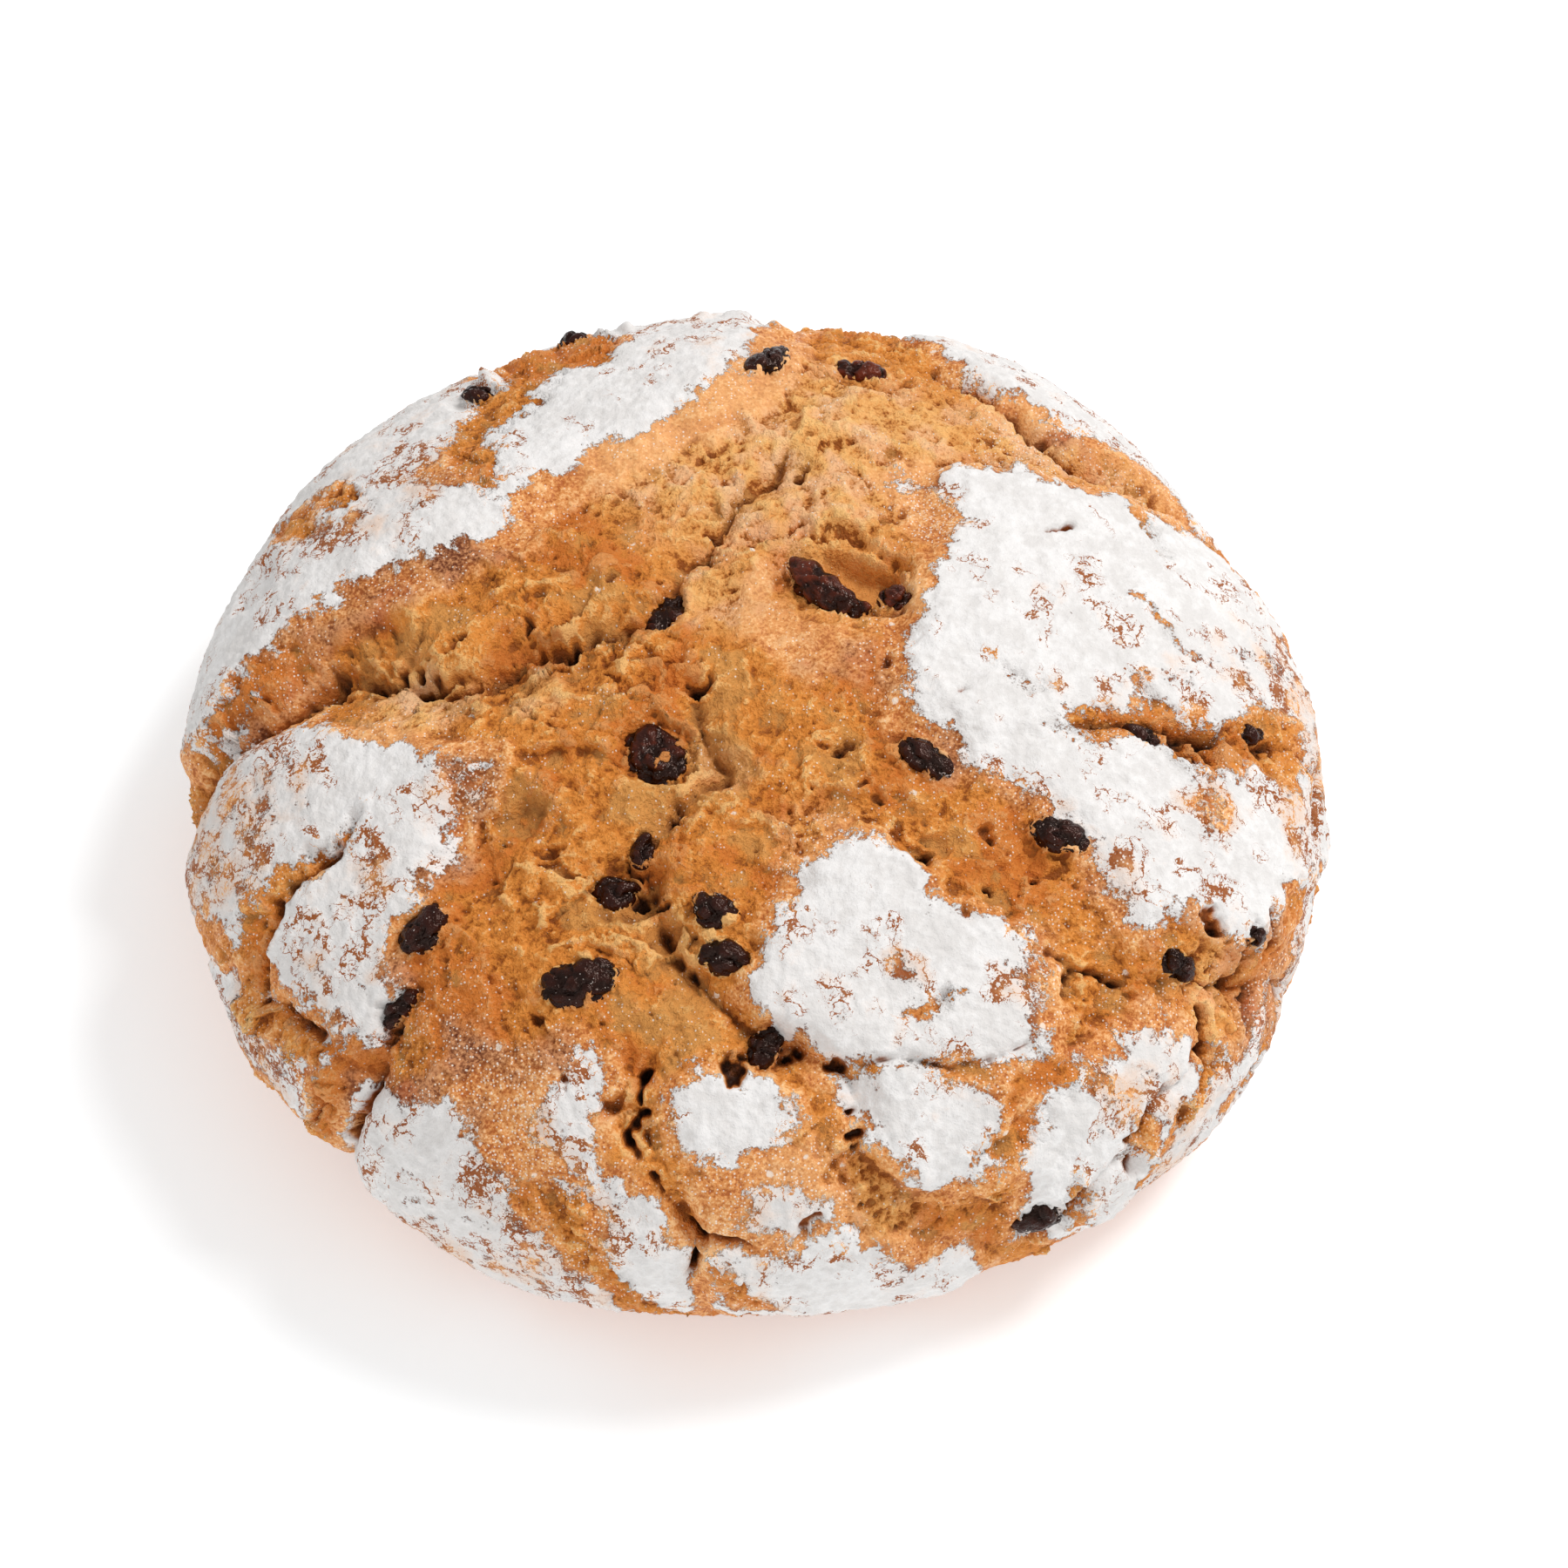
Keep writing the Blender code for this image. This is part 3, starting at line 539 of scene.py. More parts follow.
def inside_depth(outline, everywhere):
    """Distance to an outline, positive inside it and -FAR or more outside."""
    near = close_to(outline, everywhere, FAR)
    chart = everywhere[near]
    corners = np.array(outline, float)
    inside = np.zeros(len(chart), bool)
    for (x0, y0), (x1, y1) in zip(corners, np.roll(corners, -1, axis=0)):
        crosses = (y0 > chart[:, 1]) != (y1 > chart[:, 1])
        rise = y1 - y0 if y1 != y0 else 1.0
        inside ^= crosses & (chart[:, 0] < x0 + (chart[:, 1] - y0) / rise * (x1 - x0))
    distance = to_line(outline, chart, closed=True)[0]
    depth = np.full(len(everywhere), -FAR)
    depth[near] = np.where(inside, distance, np.maximum(-distance, -FAR))
    return depth


# Layers of noise: (height, size, seed), in mm, and the heights at the holes' rims in radii
HOLE_RIMS = [(0.5, 2.4, 34), (0.35, 1.2, 35)]
SKIN_EDGE = [(1.6, 4.2, 41), (0.9, 1.7, 42)]
SKIN_RELIEF = [(0.45, 12, 81), (0.26, 4.5, 82), (0.14, 1.7, 83), (0.22, 1.0, 84)]
RAISIN_COVER = [(1.2, 2.4, 91), (0.5, 1.1, 92)]


class Crust:
    """Everything that is worked out for each point of the fine mesh."""

    def __init__(self, chart):
        self.chart = chart
        self.dome = plain_dome(chart)
        self.normal = dome_normal(chart)
        self.way = np.hypot(chart[:, 0], chart[:, 1])
        self.soft = chart + self.wander(2.0, 9)
        self.bent = self.soft + self.wander(1.0, 3.4)
        self.ragged = self.bent + self.wander(0.5, 1.4)
        for name in ("valley", "tear", "smooth", "ledge", "groove", "height"):
            setattr(self, name, np.zeros(len(chart)))
        self.find_patches()
        self.cut_cracks()
        self.sink_hollows()
        # The valleys' depth before the cavity, which the material darkens as painted shade
        self.sunk = self.valley.copy()
        self.open_cavity()
        self.tear_ledges()
        self.raise_dough()
        self.shape()

    def wander(self, reach, size):
        return reach * np.stack([noise(self.dome, size, 11), noise(self.dome, size, 21)], 1)

    def around(self, x, y, radius, places):
        """The points near a spot, and how far off each is, in radii."""
        near = close_to([(x, y)], places, radius * 1.5)
        return near, np.linalg.norm(places[near] - [x, y], axis=1) / radius

    def spots(self, table):
        """The strongest of a table's round spots (x, y, radius, strength) at each point."""
        strongest = np.zeros(len(self.chart))
        for x, y, radius, strength in table:
            near, away = self.around(x, y, radius, self.ragged)
            strongest[near] = np.maximum(strongest[near], strength * ease(1.25, 0.35, away))
        return strongest

    def find_patches(self):
        """Where flour, smooth skin and torn crumb lie, and how the crust looks from place to place."""
        torn = np.max([inside_depth(outline, self.ragged) for outline in TORN], axis=0)
        depths = [(band, inside_depth(outline, self.ragged)) for band, outline in FLOUR]
        flour = np.max([depth for _, depth in depths], axis=0)
        skin = np.max([depth + band for band, depth in depths]
                      + [inside_depth(outline, self.ragged) for outline in BARE_SKIN], axis=0)
        side = self.way - SKIN_FROM + 5 * noise(self.dome, 22, 31)
        self.skin = np.minimum(np.maximum(skin, side), -torn)
        self.flour = np.minimum(flour, -torn)
        self.worn = self.spots(WORN) - self.spots(CLEAN)
        self.light = self.spots(PALER_AND_LIT)
        self.dusty = self.spots(DUSTY)
        self.pale = self.spots([(*spot, 1.0) for spot in PALE])
        self.browned = ease(*BROWNER, self.way) * 0.6 + self.spots(BROWNED)

    def cut_cracks(self):
        """Each crack is a soft valley with a tear along it that gapes here and closes there."""
        gape = np.clip(0.65 + 1.2 * layered(self.dome, 6, 33, 3, 0.6), 0.0, 1.4)
        middle = 0.5 * (self.soft + self.bent)
        for wide, low, tear, deep, points in CRACKS:
            near = close_to(points, self.soft, wide + 4)
            distance, share, _ = to_line(points, self.soft[near])
            taper = np.sqrt(ease(0.0, 0.15, share) * ease(1.0, 0.85, share))
            self.valley[near] += low * taper * np.clip(1 - distance / wide, 0, 1) ** 2
            distance = to_line(points, middle[near])[0]
            reach = tear * (0.2 + gape[near])
            self.tear[near] += 1.2 * deep * taper * gape[near] * np.clip(1.1 - distance / reach, 0, 1)

    def sink_hollows(self):
        """Round hollows, smooth shells and ragged holes."""
        for x, y, radius, deep in HOLLOWS:
            near, away = self.around(x, y, radius, self.bent)
            self.valley[near] += deep * ease(1.0, 0.55, away)
        for x, y, radius, deep in SHELLS:
            near, away = self.around(x, y, radius, self.bent)
            self.valley[near] += deep * np.clip(1 - away ** 2, 0, 1) * ease(1.05, 0.8, away)
            self.smooth[near] = np.maximum(self.smooth[near], 0.8 * ease(1.1, 0.7, away))
        uneven = noise_sum(self.dome, HOLE_RIMS)
        for x, y, radius, deep in HOLES:
            near, away = self.around(x, y, radius * 1.2, self.ragged)
            away = 1.2 * away + uneven[near]
            self.tear[near] = np.maximum(self.tear[near], deep * ease(1.2, 0.4, away))

    def open_cavity(self):
        rim = np.interp(self.chart[:, 0] - 0.5 * self.chart[:, 1], CAVITY_RIM_AT, CAVITY_RIM)
        self.cavity = ease(0.0, 1.0, inside_depth(CAVITY, self.soft + [-1.0, 0.3]) / rim)
        self.valley += CAVITY_DEPTH * self.cavity
        self.smooth = np.maximum(self.smooth, self.cavity)

    def tear_ledges(self):
        """The crust stands up behind each ledge and is sunk before it."""
        for lift, fade, points in LEDGES:
            near = close_to(points, self.bent, 2.5 * fade)
            distance, share, side = to_line(points, self.bent[near])
            taper = ease(0.0, 0.25, share) * ease(1.0, 0.75, share)
            share = ease(-0.7, 0.7, distance * side)
            behind = share * bell(distance, fade)
            before = 0.5 * (1 - share) * bell(distance, fade * 0.6)
            self.ledge[near] += lift * taper * (behind - before)

    def raise_dough(self):
        """Swellings, tufts and crust plates, less all that is torn or sunk."""
        for x, y, radius, lift in BULGES:
            self.height += lift * bell(np.linalg.norm(self.chart - [x, y], axis=1), radius)
        ragged = 0.5 + 0.9 * lumps(wavy(self.dome, 0.8, 3, 46), 3.6, 45)
        for x, y, radius, lift in TUFTS:
            near, away = self.around(x, y, radius, self.ragged)
            self.height[near] += lift * ease(1.0, 0.2, away) * ragged[near]
        for lift, rim, outline in PLATES:
            self.height += lift * ease(-rim, rim * 0.4, inside_depth(outline, self.ragged))
        self.height += self.ledge - self.valley - self.tear

    def crumb_relief(self, crumbs):
        """Torn crumb: ridges, broken faces, clumps or strands, flakes, loose crumbs, pits and pores."""
        dome = self.dome
        clumpy = ease(-0.25, 0.25, noise(dome, 13, 44))
        loose = ease(-0.2, 0.5, noise(dome, 8, 72))
        flaky = ease(-0.3, 0.3, noise(dome, 10, 62))
        relief = 2.2 * ridges(wavy(dome, 3.0, 9, 50), 11, 51) + 0.9 * ridges(wavy(dome, 1.5, 4, 52), 5, 53)
        relief += 1.7 * facets(wavy(dome, 1.8, 5, 63), 7.5, 64)
        relief += 0.9 * facets(wavy(dome, 0.9, 2.4, 65), 3.4, 66)
        relief += 0.7 * clumpy * (lumps(wavy(dome, 0.8, 2.2, 54), 3.4, 55) - 0.6)
        relief += 0.6 * (1 - clumpy) * ridges(wavy(dome, 0.8, 4, 56) * STRAND, 2.2, 57)
        relief += 0.9 * flaky * saw_teeth(layered(dome, 8, 61, 3, 0.6) * 3.0)
        relief += (0.3 + 0.5 * loose) * crumbs
        away, kind = pebbles(dome, 3.0, 71)
        relief -= np.where(kind > PITTED, 1.8 * (kind - 0.3) * ease(0.42, 0.12, away), 0.0)
        torn = 0.6 + 0.4 * ease(0.2, 3.0, self.valley + self.tear) + 0.5 * noise(dome, 15, 43)
        relief *= np.clip(torn, 0.4, 1.2) * (1 - 0.7 * self.smooth) * (1 - 0.8 * self.cavity)
        away, kind = pebbles(dome, 1.5, 76)
        relief -= np.where(kind > PORED, 0.9 * ease(0.4, 0.1, away), 0.0)
        return relief + 0.4 * noise(dome, 1.1, 74) * (0.5 + 0.6 * loose) + 0.8 * noise(dome, 12, 75)

    def shape(self):
        """Adds the relief of crumb and skin and the skin's curled edge, and fades all at the base's rim."""
        self.crumb = ease(1.6, -1.6, self.skin + noise_sum(self.dome, SKIN_EDGE))
        crumbs = lumps(wavy(self.dome, 0.3, 1.2, 59), 1.8, 58) - 0.6
        skin = noise_sum(self.dome, SKIN_RELIEF) + 0.2 * crumbs
        self.height += self.crumb * (self.crumb_relief(crumbs) - 0.35) + (1 - self.crumb) * skin
        self.height += 0.45 * bell(self.skin - 0.6, 1.1) * ease(0.0, 0.5, noise(self.dome, 7, 85))
        self.height *= ease(EDGE - FADE[0], EDGE - FADE[1], self.way)

    def points(self):
        return self.dome + self.normal * self.height[:, None]


def relief_above(height, edges, rounds):
    """How far each point stands above the average of those around it, wider with more rounds."""
    ends = np.concatenate([edges[:, 0], edges[:, 1]])
    others = np.concatenate([edges[:, 1], edges[:, 0]])
    count = np.bincount(ends, minlength=len(height))
    level = height.copy()
    for _ in range(rounds):
        level = 0.5 * level + 0.5 * np.bincount(ends, level[others], len(height)) / count
    return height - level


# -------- meshes
def ring_places(rings, reach):
    """Chart places in rings of 6, 12, 18... round the top."""
    places = [np.zeros((1, 2))]
    for ring in range(1, rings + 1):
        angle = np.arange(6 * ring) * (2 * math.pi / (6 * ring))
        places.append(reach * ring / rings * np.stack([np.cos(angle), np.sin(angle)], 1))
    return np.concatenate(places)


def ring_faces(rings):
    """Triangles between the rings, facing up."""
    first = [1 + 3 * ring * (ring - 1) if ring else 0 for ring in range(rings + 1)]
    faces = []
    for ring in range(rings):
        count, around = max(6 * ring, 1), 6 * (ring + 1)
        side, step = np.divmod(np.arange(around), ring + 1)
        a = first[ring + 1] + np.arange(around)
        b = first[ring + 1] + (np.arange(around) + 1) % around
        c = first[ring] + (side * ring + step) % count
        d = first[ring] + (side * ring + step + 1) % count
        faces += [np.stack([a, b, c], 1), np.stack([c, b, d], 1)[step < ring]]
    return np.concatenate(faces)


def stitch(outer, inner):
    """Triangles that join the rims of the crust and of the base, a whole number to each point of the base.

    With 320 and 70 rings that number is cut from 4.6 to 4, so they run askew and leave the last eighth open.
    """
    ratio = len(outer) // len(inner)
    faces = []
    for index in range(len(inner)):
        here, after = inner[index], inner[(index + 1) % len(inner)]
        for step in range(ratio):
            a = outer[index * ratio + step]
            b = outer[(index * ratio + step + 1) % len(outer)]
            faces.append((b, a, here if step < ratio / 2 else after))
            if step + 1 == ratio / 2:
                faces.append((b, here, after))
    return np.array(faces)


def read(items, name, width, kind):
    """What the mesh has under a name for each vertex, edge or corner, in rows of the given width."""
    values = np.empty(len(items) * width, kind)
    items.foreach_get(name, values)
    return values.reshape(-1, width)


def place_vertices(mesh, points):
    mesh.vertices.foreach_set("co", (points * MM).ravel().astype(np.float32))


def mesh_from(name, points, faces):
    mesh = bpy.data.meshes.new(name)
    mesh.vertices.add(len(points))
    place_vertices(mesh, points)
    mesh.loops.add(len(faces) * 3)
    mesh.loops.foreach_set("vertex_index", faces.ravel().astype(np.int32))
    mesh.polygons.add(len(faces))
    mesh.polygons.foreach_set("loop_start", np.arange(0, len(faces) * 3, 3, dtype=np.int32))
    mesh.update(calc_edges=True)
    mesh.validate()
    mesh.shade_smooth()
    return mesh


def give(mesh, name, values):
    """Stores a value for each vertex, which a material reads by its name."""
    made = mesh.attributes.new(name, "FLOAT", "POINT")
    made.data.foreach_set("value", values.astype(np.float32))


def add_object(name, data, finish=None):
    made = bpy.data.objects.new(name, data)
    bpy.context.scene.collection.objects.link(made)
    if finish:
        data.materials.append(finish)
    return made


# -------- raisins
REACH = 0.02             # m; how far above and below the crust a raisin is looked for


def rounded_cage(node):
    """The CAD raisin as a smooth mesh, with its split corners joined."""
    cage = bmesh.new()
    cage.from_mesh(node.data)
    bmesh.ops.remove_doubles(cage, verts=cage.verts, dist=1e-6)
    mesh = bpy.data.meshes.new(node.name + "_cage")
    cage.to_mesh(mesh)
    cage.free()
    holder = add_object(node.name + "_cage", mesh)
    rounder = holder.modifiers.new("round", "SUBSURF")
    rounder.levels = 2
    rounder.render_levels = 2
    graph = bpy.context.evaluated_depsgraph_get()
    smooth = bpy.data.meshes.new_from_object(holder.evaluated_get(graph))
    bpy.data.objects.remove(holder)
    return smooth


def raisin_mesh(node, seed):
    """A wrinkled raisin in the place of a CAD raisin."""
    mesh = rounded_cage(node)
    points = read(mesh.vertices, "co", 3, np.float32).astype(float) / MM
    fold = 1 - 2.8 * np.abs(layered(wavy(points, 0.8, 3, seed), 3.8, 100 + seed, 2, 0.35))
    crease = 1 - 3.4 * np.abs(noise(wavy(points, 0.6, 2.5, seed) * WRINKLE, 2.0, 200 + seed))
    fold = np.clip(fold, 0, 1)
    crease = np.clip(crease, 0, 1)
    push = 0.2 + 0.6 * noise(points, 4.5, 300 + seed) - 0.95 * fold ** 2 - 0.35 * crease ** 2
    points += read(mesh.vertices, "normal", 3, np.float32) * push[:, None]
    place_vertices(mesh, points)
    give(mesh, "fold", fold + 0.6 * crease)
    places = np.array(DUSTED_RAISINS)
    away = np.linalg.norm(points[:, None] - plain_dome(places[:, :2])[None], axis=2) / places[:, 2]
    give(mesh, "dusted", ease(1.5, 0.5, away.min(1)))
    give(mesh, "warm", np.full(len(points), WARM_RAISINS.get(node.name, 0.0)))
    mesh.update()
    mesh.shade_smooth()
    return mesh


def draw_up(crust, index, spot, tree, cover):
    """Moves one point of the crust towards a raisin's rim beside it, or over or under the raisin's skin."""
    up = Vector(crust.normal[index])
    top = tree.ray_cast(spot + up * REACH, -up, 2 * REACH)[0]
    if top is None:
        way = tree.find_nearest(spot)[0] - spot
        away = (way - up * way.dot(up)).length / MM
        crust.height[index] += max(way.dot(up) / MM + 0.3, 0) * bell(away, 1.7)
        crust.groove[index] = max(crust.groove[index], 0.7 * bell(away, 1.1))
        return
    low = tree.ray_cast(spot - up * REACH, up, 2 * REACH)[0]
    thick = (top - low).dot(up) / MM
    hide = 1.2 * (thick - cover)
    crust.height[index] += (top - spot).dot(up) / MM - min(max(hide, -0.3), 0.75 * thick)
    crust.groove[index] = 1.0 if hide > 0 else 0.6


def seat_raisins(crust, raisins):
    """Draws the crust up round each raisin and over its rim, and hides it below the raisin's middle."""
    points = crust.points()
    cover = 1.2 + noise_sum(crust.dome, RAISIN_COVER)
    cover += 8 * crust.spots([(*spot, 1.0) for spot in STUCK_CRUMB])
    cover -= 3 * ease(-3.0, 1.0, inside_depth(CAVITY, crust.chart))
    for raisin in raisins:
        tree = BVHTree.FromObject(raisin, bpy.context.evaluated_depsgraph_get())
        corners = read(raisin.data.vertices, "co", 3, np.float32).astype(float) / MM
        middle = corners.mean(0)
        reach = np.linalg.norm(corners - middle, axis=1).max() + 4.0
        for index in np.flatnonzero(np.linalg.norm(points - middle, axis=1) < reach):
            draw_up(crust, index, Vector(points[index]) * MM, tree, cover[index])


# -------- shading
# Colours as seen on screen, 0 to 255. What changes with a level is a list of the first colour, then
# (from level, to level, next colour) for each change
# Crumb by its level, which rises with the relief: darker in hollows as painted shade, paler where it stands
# out as painted highlight, with random tone from noise
CRUMB = [(150, 80, 24), (-0.9, -0.2, (208, 126, 46)), (-0.3, 0.2, (228, 144, 62)),
         (0.25, 0.9, (246, 188, 116))]
KHAKI = (212, 152, 82)
TOASTED = (204, 108, 38)
# Colours for the lighter spots, partly paler crumb and skin and partly painted light
YELLOW_LIGHT = (252, 199, 126)
ROSY_LIGHT = (255, 208, 162)
SUNK_CRUMB_SHADE = (142, 78, 28)
CAVITY_SKIN = (224, 152, 78)
# Skin by its level, which rises with the relief: darker low as painted shade, lighter high as painted
# highlight, with random tone from noise
PALE_SKIN = [(180, 98, 42), (-0.7, 0.0, (222, 146, 80)), (0.0, 0.7, (248, 192, 132))]
LIGHT_SKIN = (246, 186, 124)
DARK_SKIN = [(102, 46, 18), (-0.7, 0.7, (206, 138, 90))]
RED_SKIN = (186, 88, 34)
PORE_SHADE = (120, 62, 26)
SHADY_TEAR = (128, 68, 24)
BLACK_TEAR_SHADE = (36, 18, 10)
FROST = (246, 206, 160)
SHADED_UNDER_FLOUR = (146, 76, 34)
SPECK = (246, 232, 216)
POWDER = [(226, 222, 219), (-0.9, 0.8, (239, 236, 234))]
THIN_POWDER = (226, 182, 146)
RAISIN = [(44, 14, 8), (0.1, 1.0, (104, 40, 20))]
RAISIN_FOLD_SHADE = (15, 3, 1)
RAISIN_FLOUR = (226, 212, 204)
RAISIN_SPECK = (216, 204, 196)
FLOOR = [(245, 249, 251), (-1, 1, (247, 251, 253))]
WHITE = (255, 255, 255)


def light(part):
    """A part of a colour as seen on screen, from 0 to 255, as light."""
    part /= 255
    return part / 12.92 if part <= 0.04045 else ((part + 0.055) / 1.055) ** 2.4


class Shader:
    """Short names for the nodes of a material. Any value can be the name of what a mesh was given."""

    def __init__(self, name):
        self.material = bpy.data.materials.new(name)
        self.material.use_nodes = True
        self.nodes = self.material.node_tree.nodes
        self.links = self.material.node_tree.links
        self.surface = self.nodes["Principled BSDF"].inputs
        place = self.nodes.new("ShaderNodeTexCoord").outputs["Object"]
        self.place = self.vector("SCALE", place, "Scale", 1 / MM)

    def put(self, socket, value):
        """Feeds a socket: a number, a colour, another socket, or the name of what the mesh was given."""
        if isinstance(value, str):
            given = self.nodes.new("ShaderNodeAttribute")
            given.attribute_name = value
            value = given.outputs["Fac"]
        if isinstance(value, bpy.types.NodeSocket):
            self.links.new(value, socket)
        elif isinstance(value, tuple):
            socket.default_value = (*map(light, value), 1.0)
        else:
            socket.default_value = value

    def vector(self, operation, place, name, value):
        made = self.nodes.new("ShaderNodeVectorMath")
        made.operation = operation
        self.links.new(place, made.inputs[0])
        made.inputs[name].default_value = value
        return made.outputs[0]

    def math(self, operation, *values, clamp=False):
        made = self.nodes.new("ShaderNodeMath")
        made.operation = operation
        made.use_clamp = clamp
        for socket, value in zip(made.inputs, values):
            self.put(socket, value)
        return made.outputs[0]

    def sum(self, *parts):
        """The sum of plain parts and of pairs (weight, part)."""
        total = 0.0
        for part in parts:
            weight, value = part if isinstance(part, tuple) else (1.0, part)
            total = self.math("MULTIPLY_ADD", value, weight, total)
        return total

    def times(self, *values):
        total = values[0]
        for value in values[1:]:
            total = self.math("MULTIPLY", total, value)
        return total

    def noise(self, size, detail=2.0, rough=0.5, warp=0.0, shift=0.0):
        """Noise from -1 to 1, with features about size mm across."""
        made = self.nodes.new("ShaderNodeTexNoise")
        place = self.vector("ADD", self.place, 1, (shift, shift * 1.7, -shift))
        self.links.new(place, made.inputs["Vector"])
        looks = {"Scale": 1 / size, "Detail": detail, "Roughness": rough, "Distortion": warp}
        for name, value in looks.items():
            made.inputs[name].default_value = value
        return self.math("MULTIPLY_ADD", made.outputs["Fac"], 4.0, -2.0)

    def ease(self, low, high, value):
        """0 below low, 1 above high, smooth between; low may be the larger."""
        made = self.nodes.new("ShaderNodeMapRange")
        made.interpolation_type = "SMOOTHSTEP"
        rises = low < high
        limits = (low, high, 0.0, 1.0) if rises else (high, low, 1.0, 0.0)
        for name, limit in zip(("From Min", "From Max", "To Min", "To Max"), limits):
            made.inputs[name].default_value = limit
        self.put(made.inputs["Value"], value)
        return made.outputs["Result"]

    def mix(self, share, first, second):
        """Between two colours, the second at share 1."""
        made = self.nodes.new("ShaderNodeMix")
        made.data_type = "RGBA"
        for index, value in zip((0, 6, 7), (share, first, second)):
            self.put(made.inputs[index], value)
        return made.outputs[2]

    def ramp(self, level, colours):
        """A colour that changes with a level."""
        mixed = colours[0]
        for low, high, after in colours[1:]:
            mixed = self.mix(self.ease(low, high, level), mixed, after)
        return mixed

    def dots(self, spacing, radius, share, ragged=0.0):
        """Round dots in a share of the cells that lie a spacing in mm apart."""
        made = self.nodes.new("ShaderNodeTexVoronoi")
        self.links.new(self.place, made.inputs["Vector"])
        made.inputs["Scale"].default_value = 1 / spacing
        pick = self.nodes.new("ShaderNodeSeparateColor")
        self.links.new(made.outputs["Color"], pick.inputs[0])
        size = radius / spacing
        dot = self.ease(size * 1.25, size * 0.75, self.sum(made.outputs["Distance"], ragged))
        return self.times(dot, self.math("LESS_THAN", pick.outputs[0], share))

    def finish(self, looks, height=None):
        """Sets the surface's looks and its detail from a height in mm, and gives the material."""
        for name, value in looks.items():
            self.put(self.surface[name], value)
        if height is not None:
            made = self.nodes.new("ShaderNodeBump")
            made.inputs["Strength"].default_value = 1.0
            made.inputs["Distance"].default_value = MM
            self.links.new(height, made.inputs["Height"])
            self.links.new(made.outputs[0], self.surface["Normal"])
        return self.material


def crumb_colour(s, small, fine):
    """Torn crumb: dark in its hollows as painted shade, orange, pale where it stands out as painted
    highlight, khaki or toasted in places.
    """
    level = s.sum("high", (0.3, "swell"), (0.35, "middle"), (0.5, small), (0.45, fine))
    # The level rises with the relief, so this ramp paints shade in the hollows and highlight where the crumb
    # stands out
    colour = s.ramp(level, CRUMB)
    khaki = s.sum("pale", (-0.4, level), (0.9, "patchy"), (-0.4, "middle"))
    colour = s.mix(s.times(0.65, s.ease(0.35, 0.9, khaki)), colour, KHAKI)
    toast = s.sum(0.06, (0.9, "broad"), (0.6, "middle"), (0.35, small), (-0.6, "pale"), (0.5, "browned"),
                  (-0.4, "light"), (0.4, "high"))
    colour = s.mix(s.times(0.6, s.ease(0.15, 0.55, toast)), colour, TOASTED)
    # Lighter spots: paler crumb, and painted light where the loaf is lit more
    paler = s.mix(s.ease(-0.35, 0.45, s.sum("patchy", (0.5, "middle"))), YELLOW_LIGHT, ROSY_LIGHT)
    colour = s.mix(s.times(0.62, "light", s.ease(-0.8, 0.2, level)), colour, paler)
    # Painted shade deep in the valleys of cracks and hollows
    colour = s.mix(s.times(0.22, s.ease(0.4, 3.4, "sunk")), colour, SUNK_CRUMB_SHADE)
    return s.mix(s.times(0.9, "cavity"), colour, CAVITY_SKIN)


def skin_colour(s, small, fine):
    """Smooth brown skin, darker and redder where it was baked longer, darker in its low places as painted
    shade and lighter on raised ones as painted highlight.
    """
    # The level rises with the relief: painted shade in low places, painted highlight on raised ones
    level = s.sum((0.4, "middle"), (0.5, small), (0.8, fine), (0.8, "high"))
    # Lighter spots on the skin: paler skin, and painted light where the loaf is lit more
    pale = s.mix(s.times(0.5, "light"), s.ramp(level, PALE_SKIN), LIGHT_SKIN)
    red = s.ease(0.0, 0.7, s.sum("patchy", (0.5, small), (0.3, fine)))
    dark = s.mix(s.times(0.55, red), s.ramp(level, DARK_SKIN), RED_SKIN)
    return s.mix(s.ease(0.1, 0.9, s.sum("browned", (0.4, "middle"))), pale, dark)


def bare_crust(s, small, fine):
    """Skin and crumb, with pores and deep tears darkened as painted shade, and darker round the raisins."""
    colour = s.mix("crumb", skin_colour(s, small, fine), crumb_colour(s, small, fine))
    # Dark dots as painted shade in the crumb's pores
    pores = s.dots(0.9, 0.19, s.sum((0.1, "crumb"), 0.08), s.times(0.06, fine))
    colour = s.mix(s.times(0.4, pores), colour, PORE_SHADE)
    # Painted shade where the crust is torn deep and where it lies low; darker round the raisins
    deep = s.sum((0.35, "tear"), (-0.9, "high"), (0.35, "groove"))
    colour = s.mix(s.times(0.85, s.ease(0.3, 1.5, deep)), colour, SHADY_TEAR)
    return s.mix(s.times(0.9, s.ease(1.1, 2.3, deep)), colour, BLACK_TEAR_SHADE)


def dusted_crust(s, small, fine):
    """The crust with frost near the flour, bald skin where flour is worn off, and white specks and blots."""
    near = s.sum((0.35, s.ease(-11.0, 0.0, "flour")), (0.5, s.ease(-2.5, 0.5, "flour")), (0.6, "dusty"))
    frost = s.ease(0.0, 1.1, s.sum(fine, (0.5, small), (0.8, "high")))
    colour = s.mix(s.times(0.3, near, frost), bare_crust(s, small, fine), FROST)
    bald = s.ease(1.0, 0.4, s.sum("worn", (0.5, "middle")))
    # Under whole flour its gaps show darker brown: the crust's own brown, made darker as painted shade in
    # the flour's cracks
    colour = s.mix(s.times(0.88, s.ease(0.5, 2.2, "flour"), bald), colour, SHADED_UNDER_FLOUR)
    share = s.sum((0.6, near), (0.3, "patchy"), (0.15, small), 0.03)
    specks = s.dots(0.5, 0.15, share, s.times(0.05, fine))
    blots = s.dots(2.6, 0.5, s.times(0.22, share), s.times(0.07, fine))
    loose = s.times(0.8, s.math("MAXIMUM", specks, blots), s.ease(1.6, 0.4, "tear"))
    return s.mix(loose, colour, SPECK)


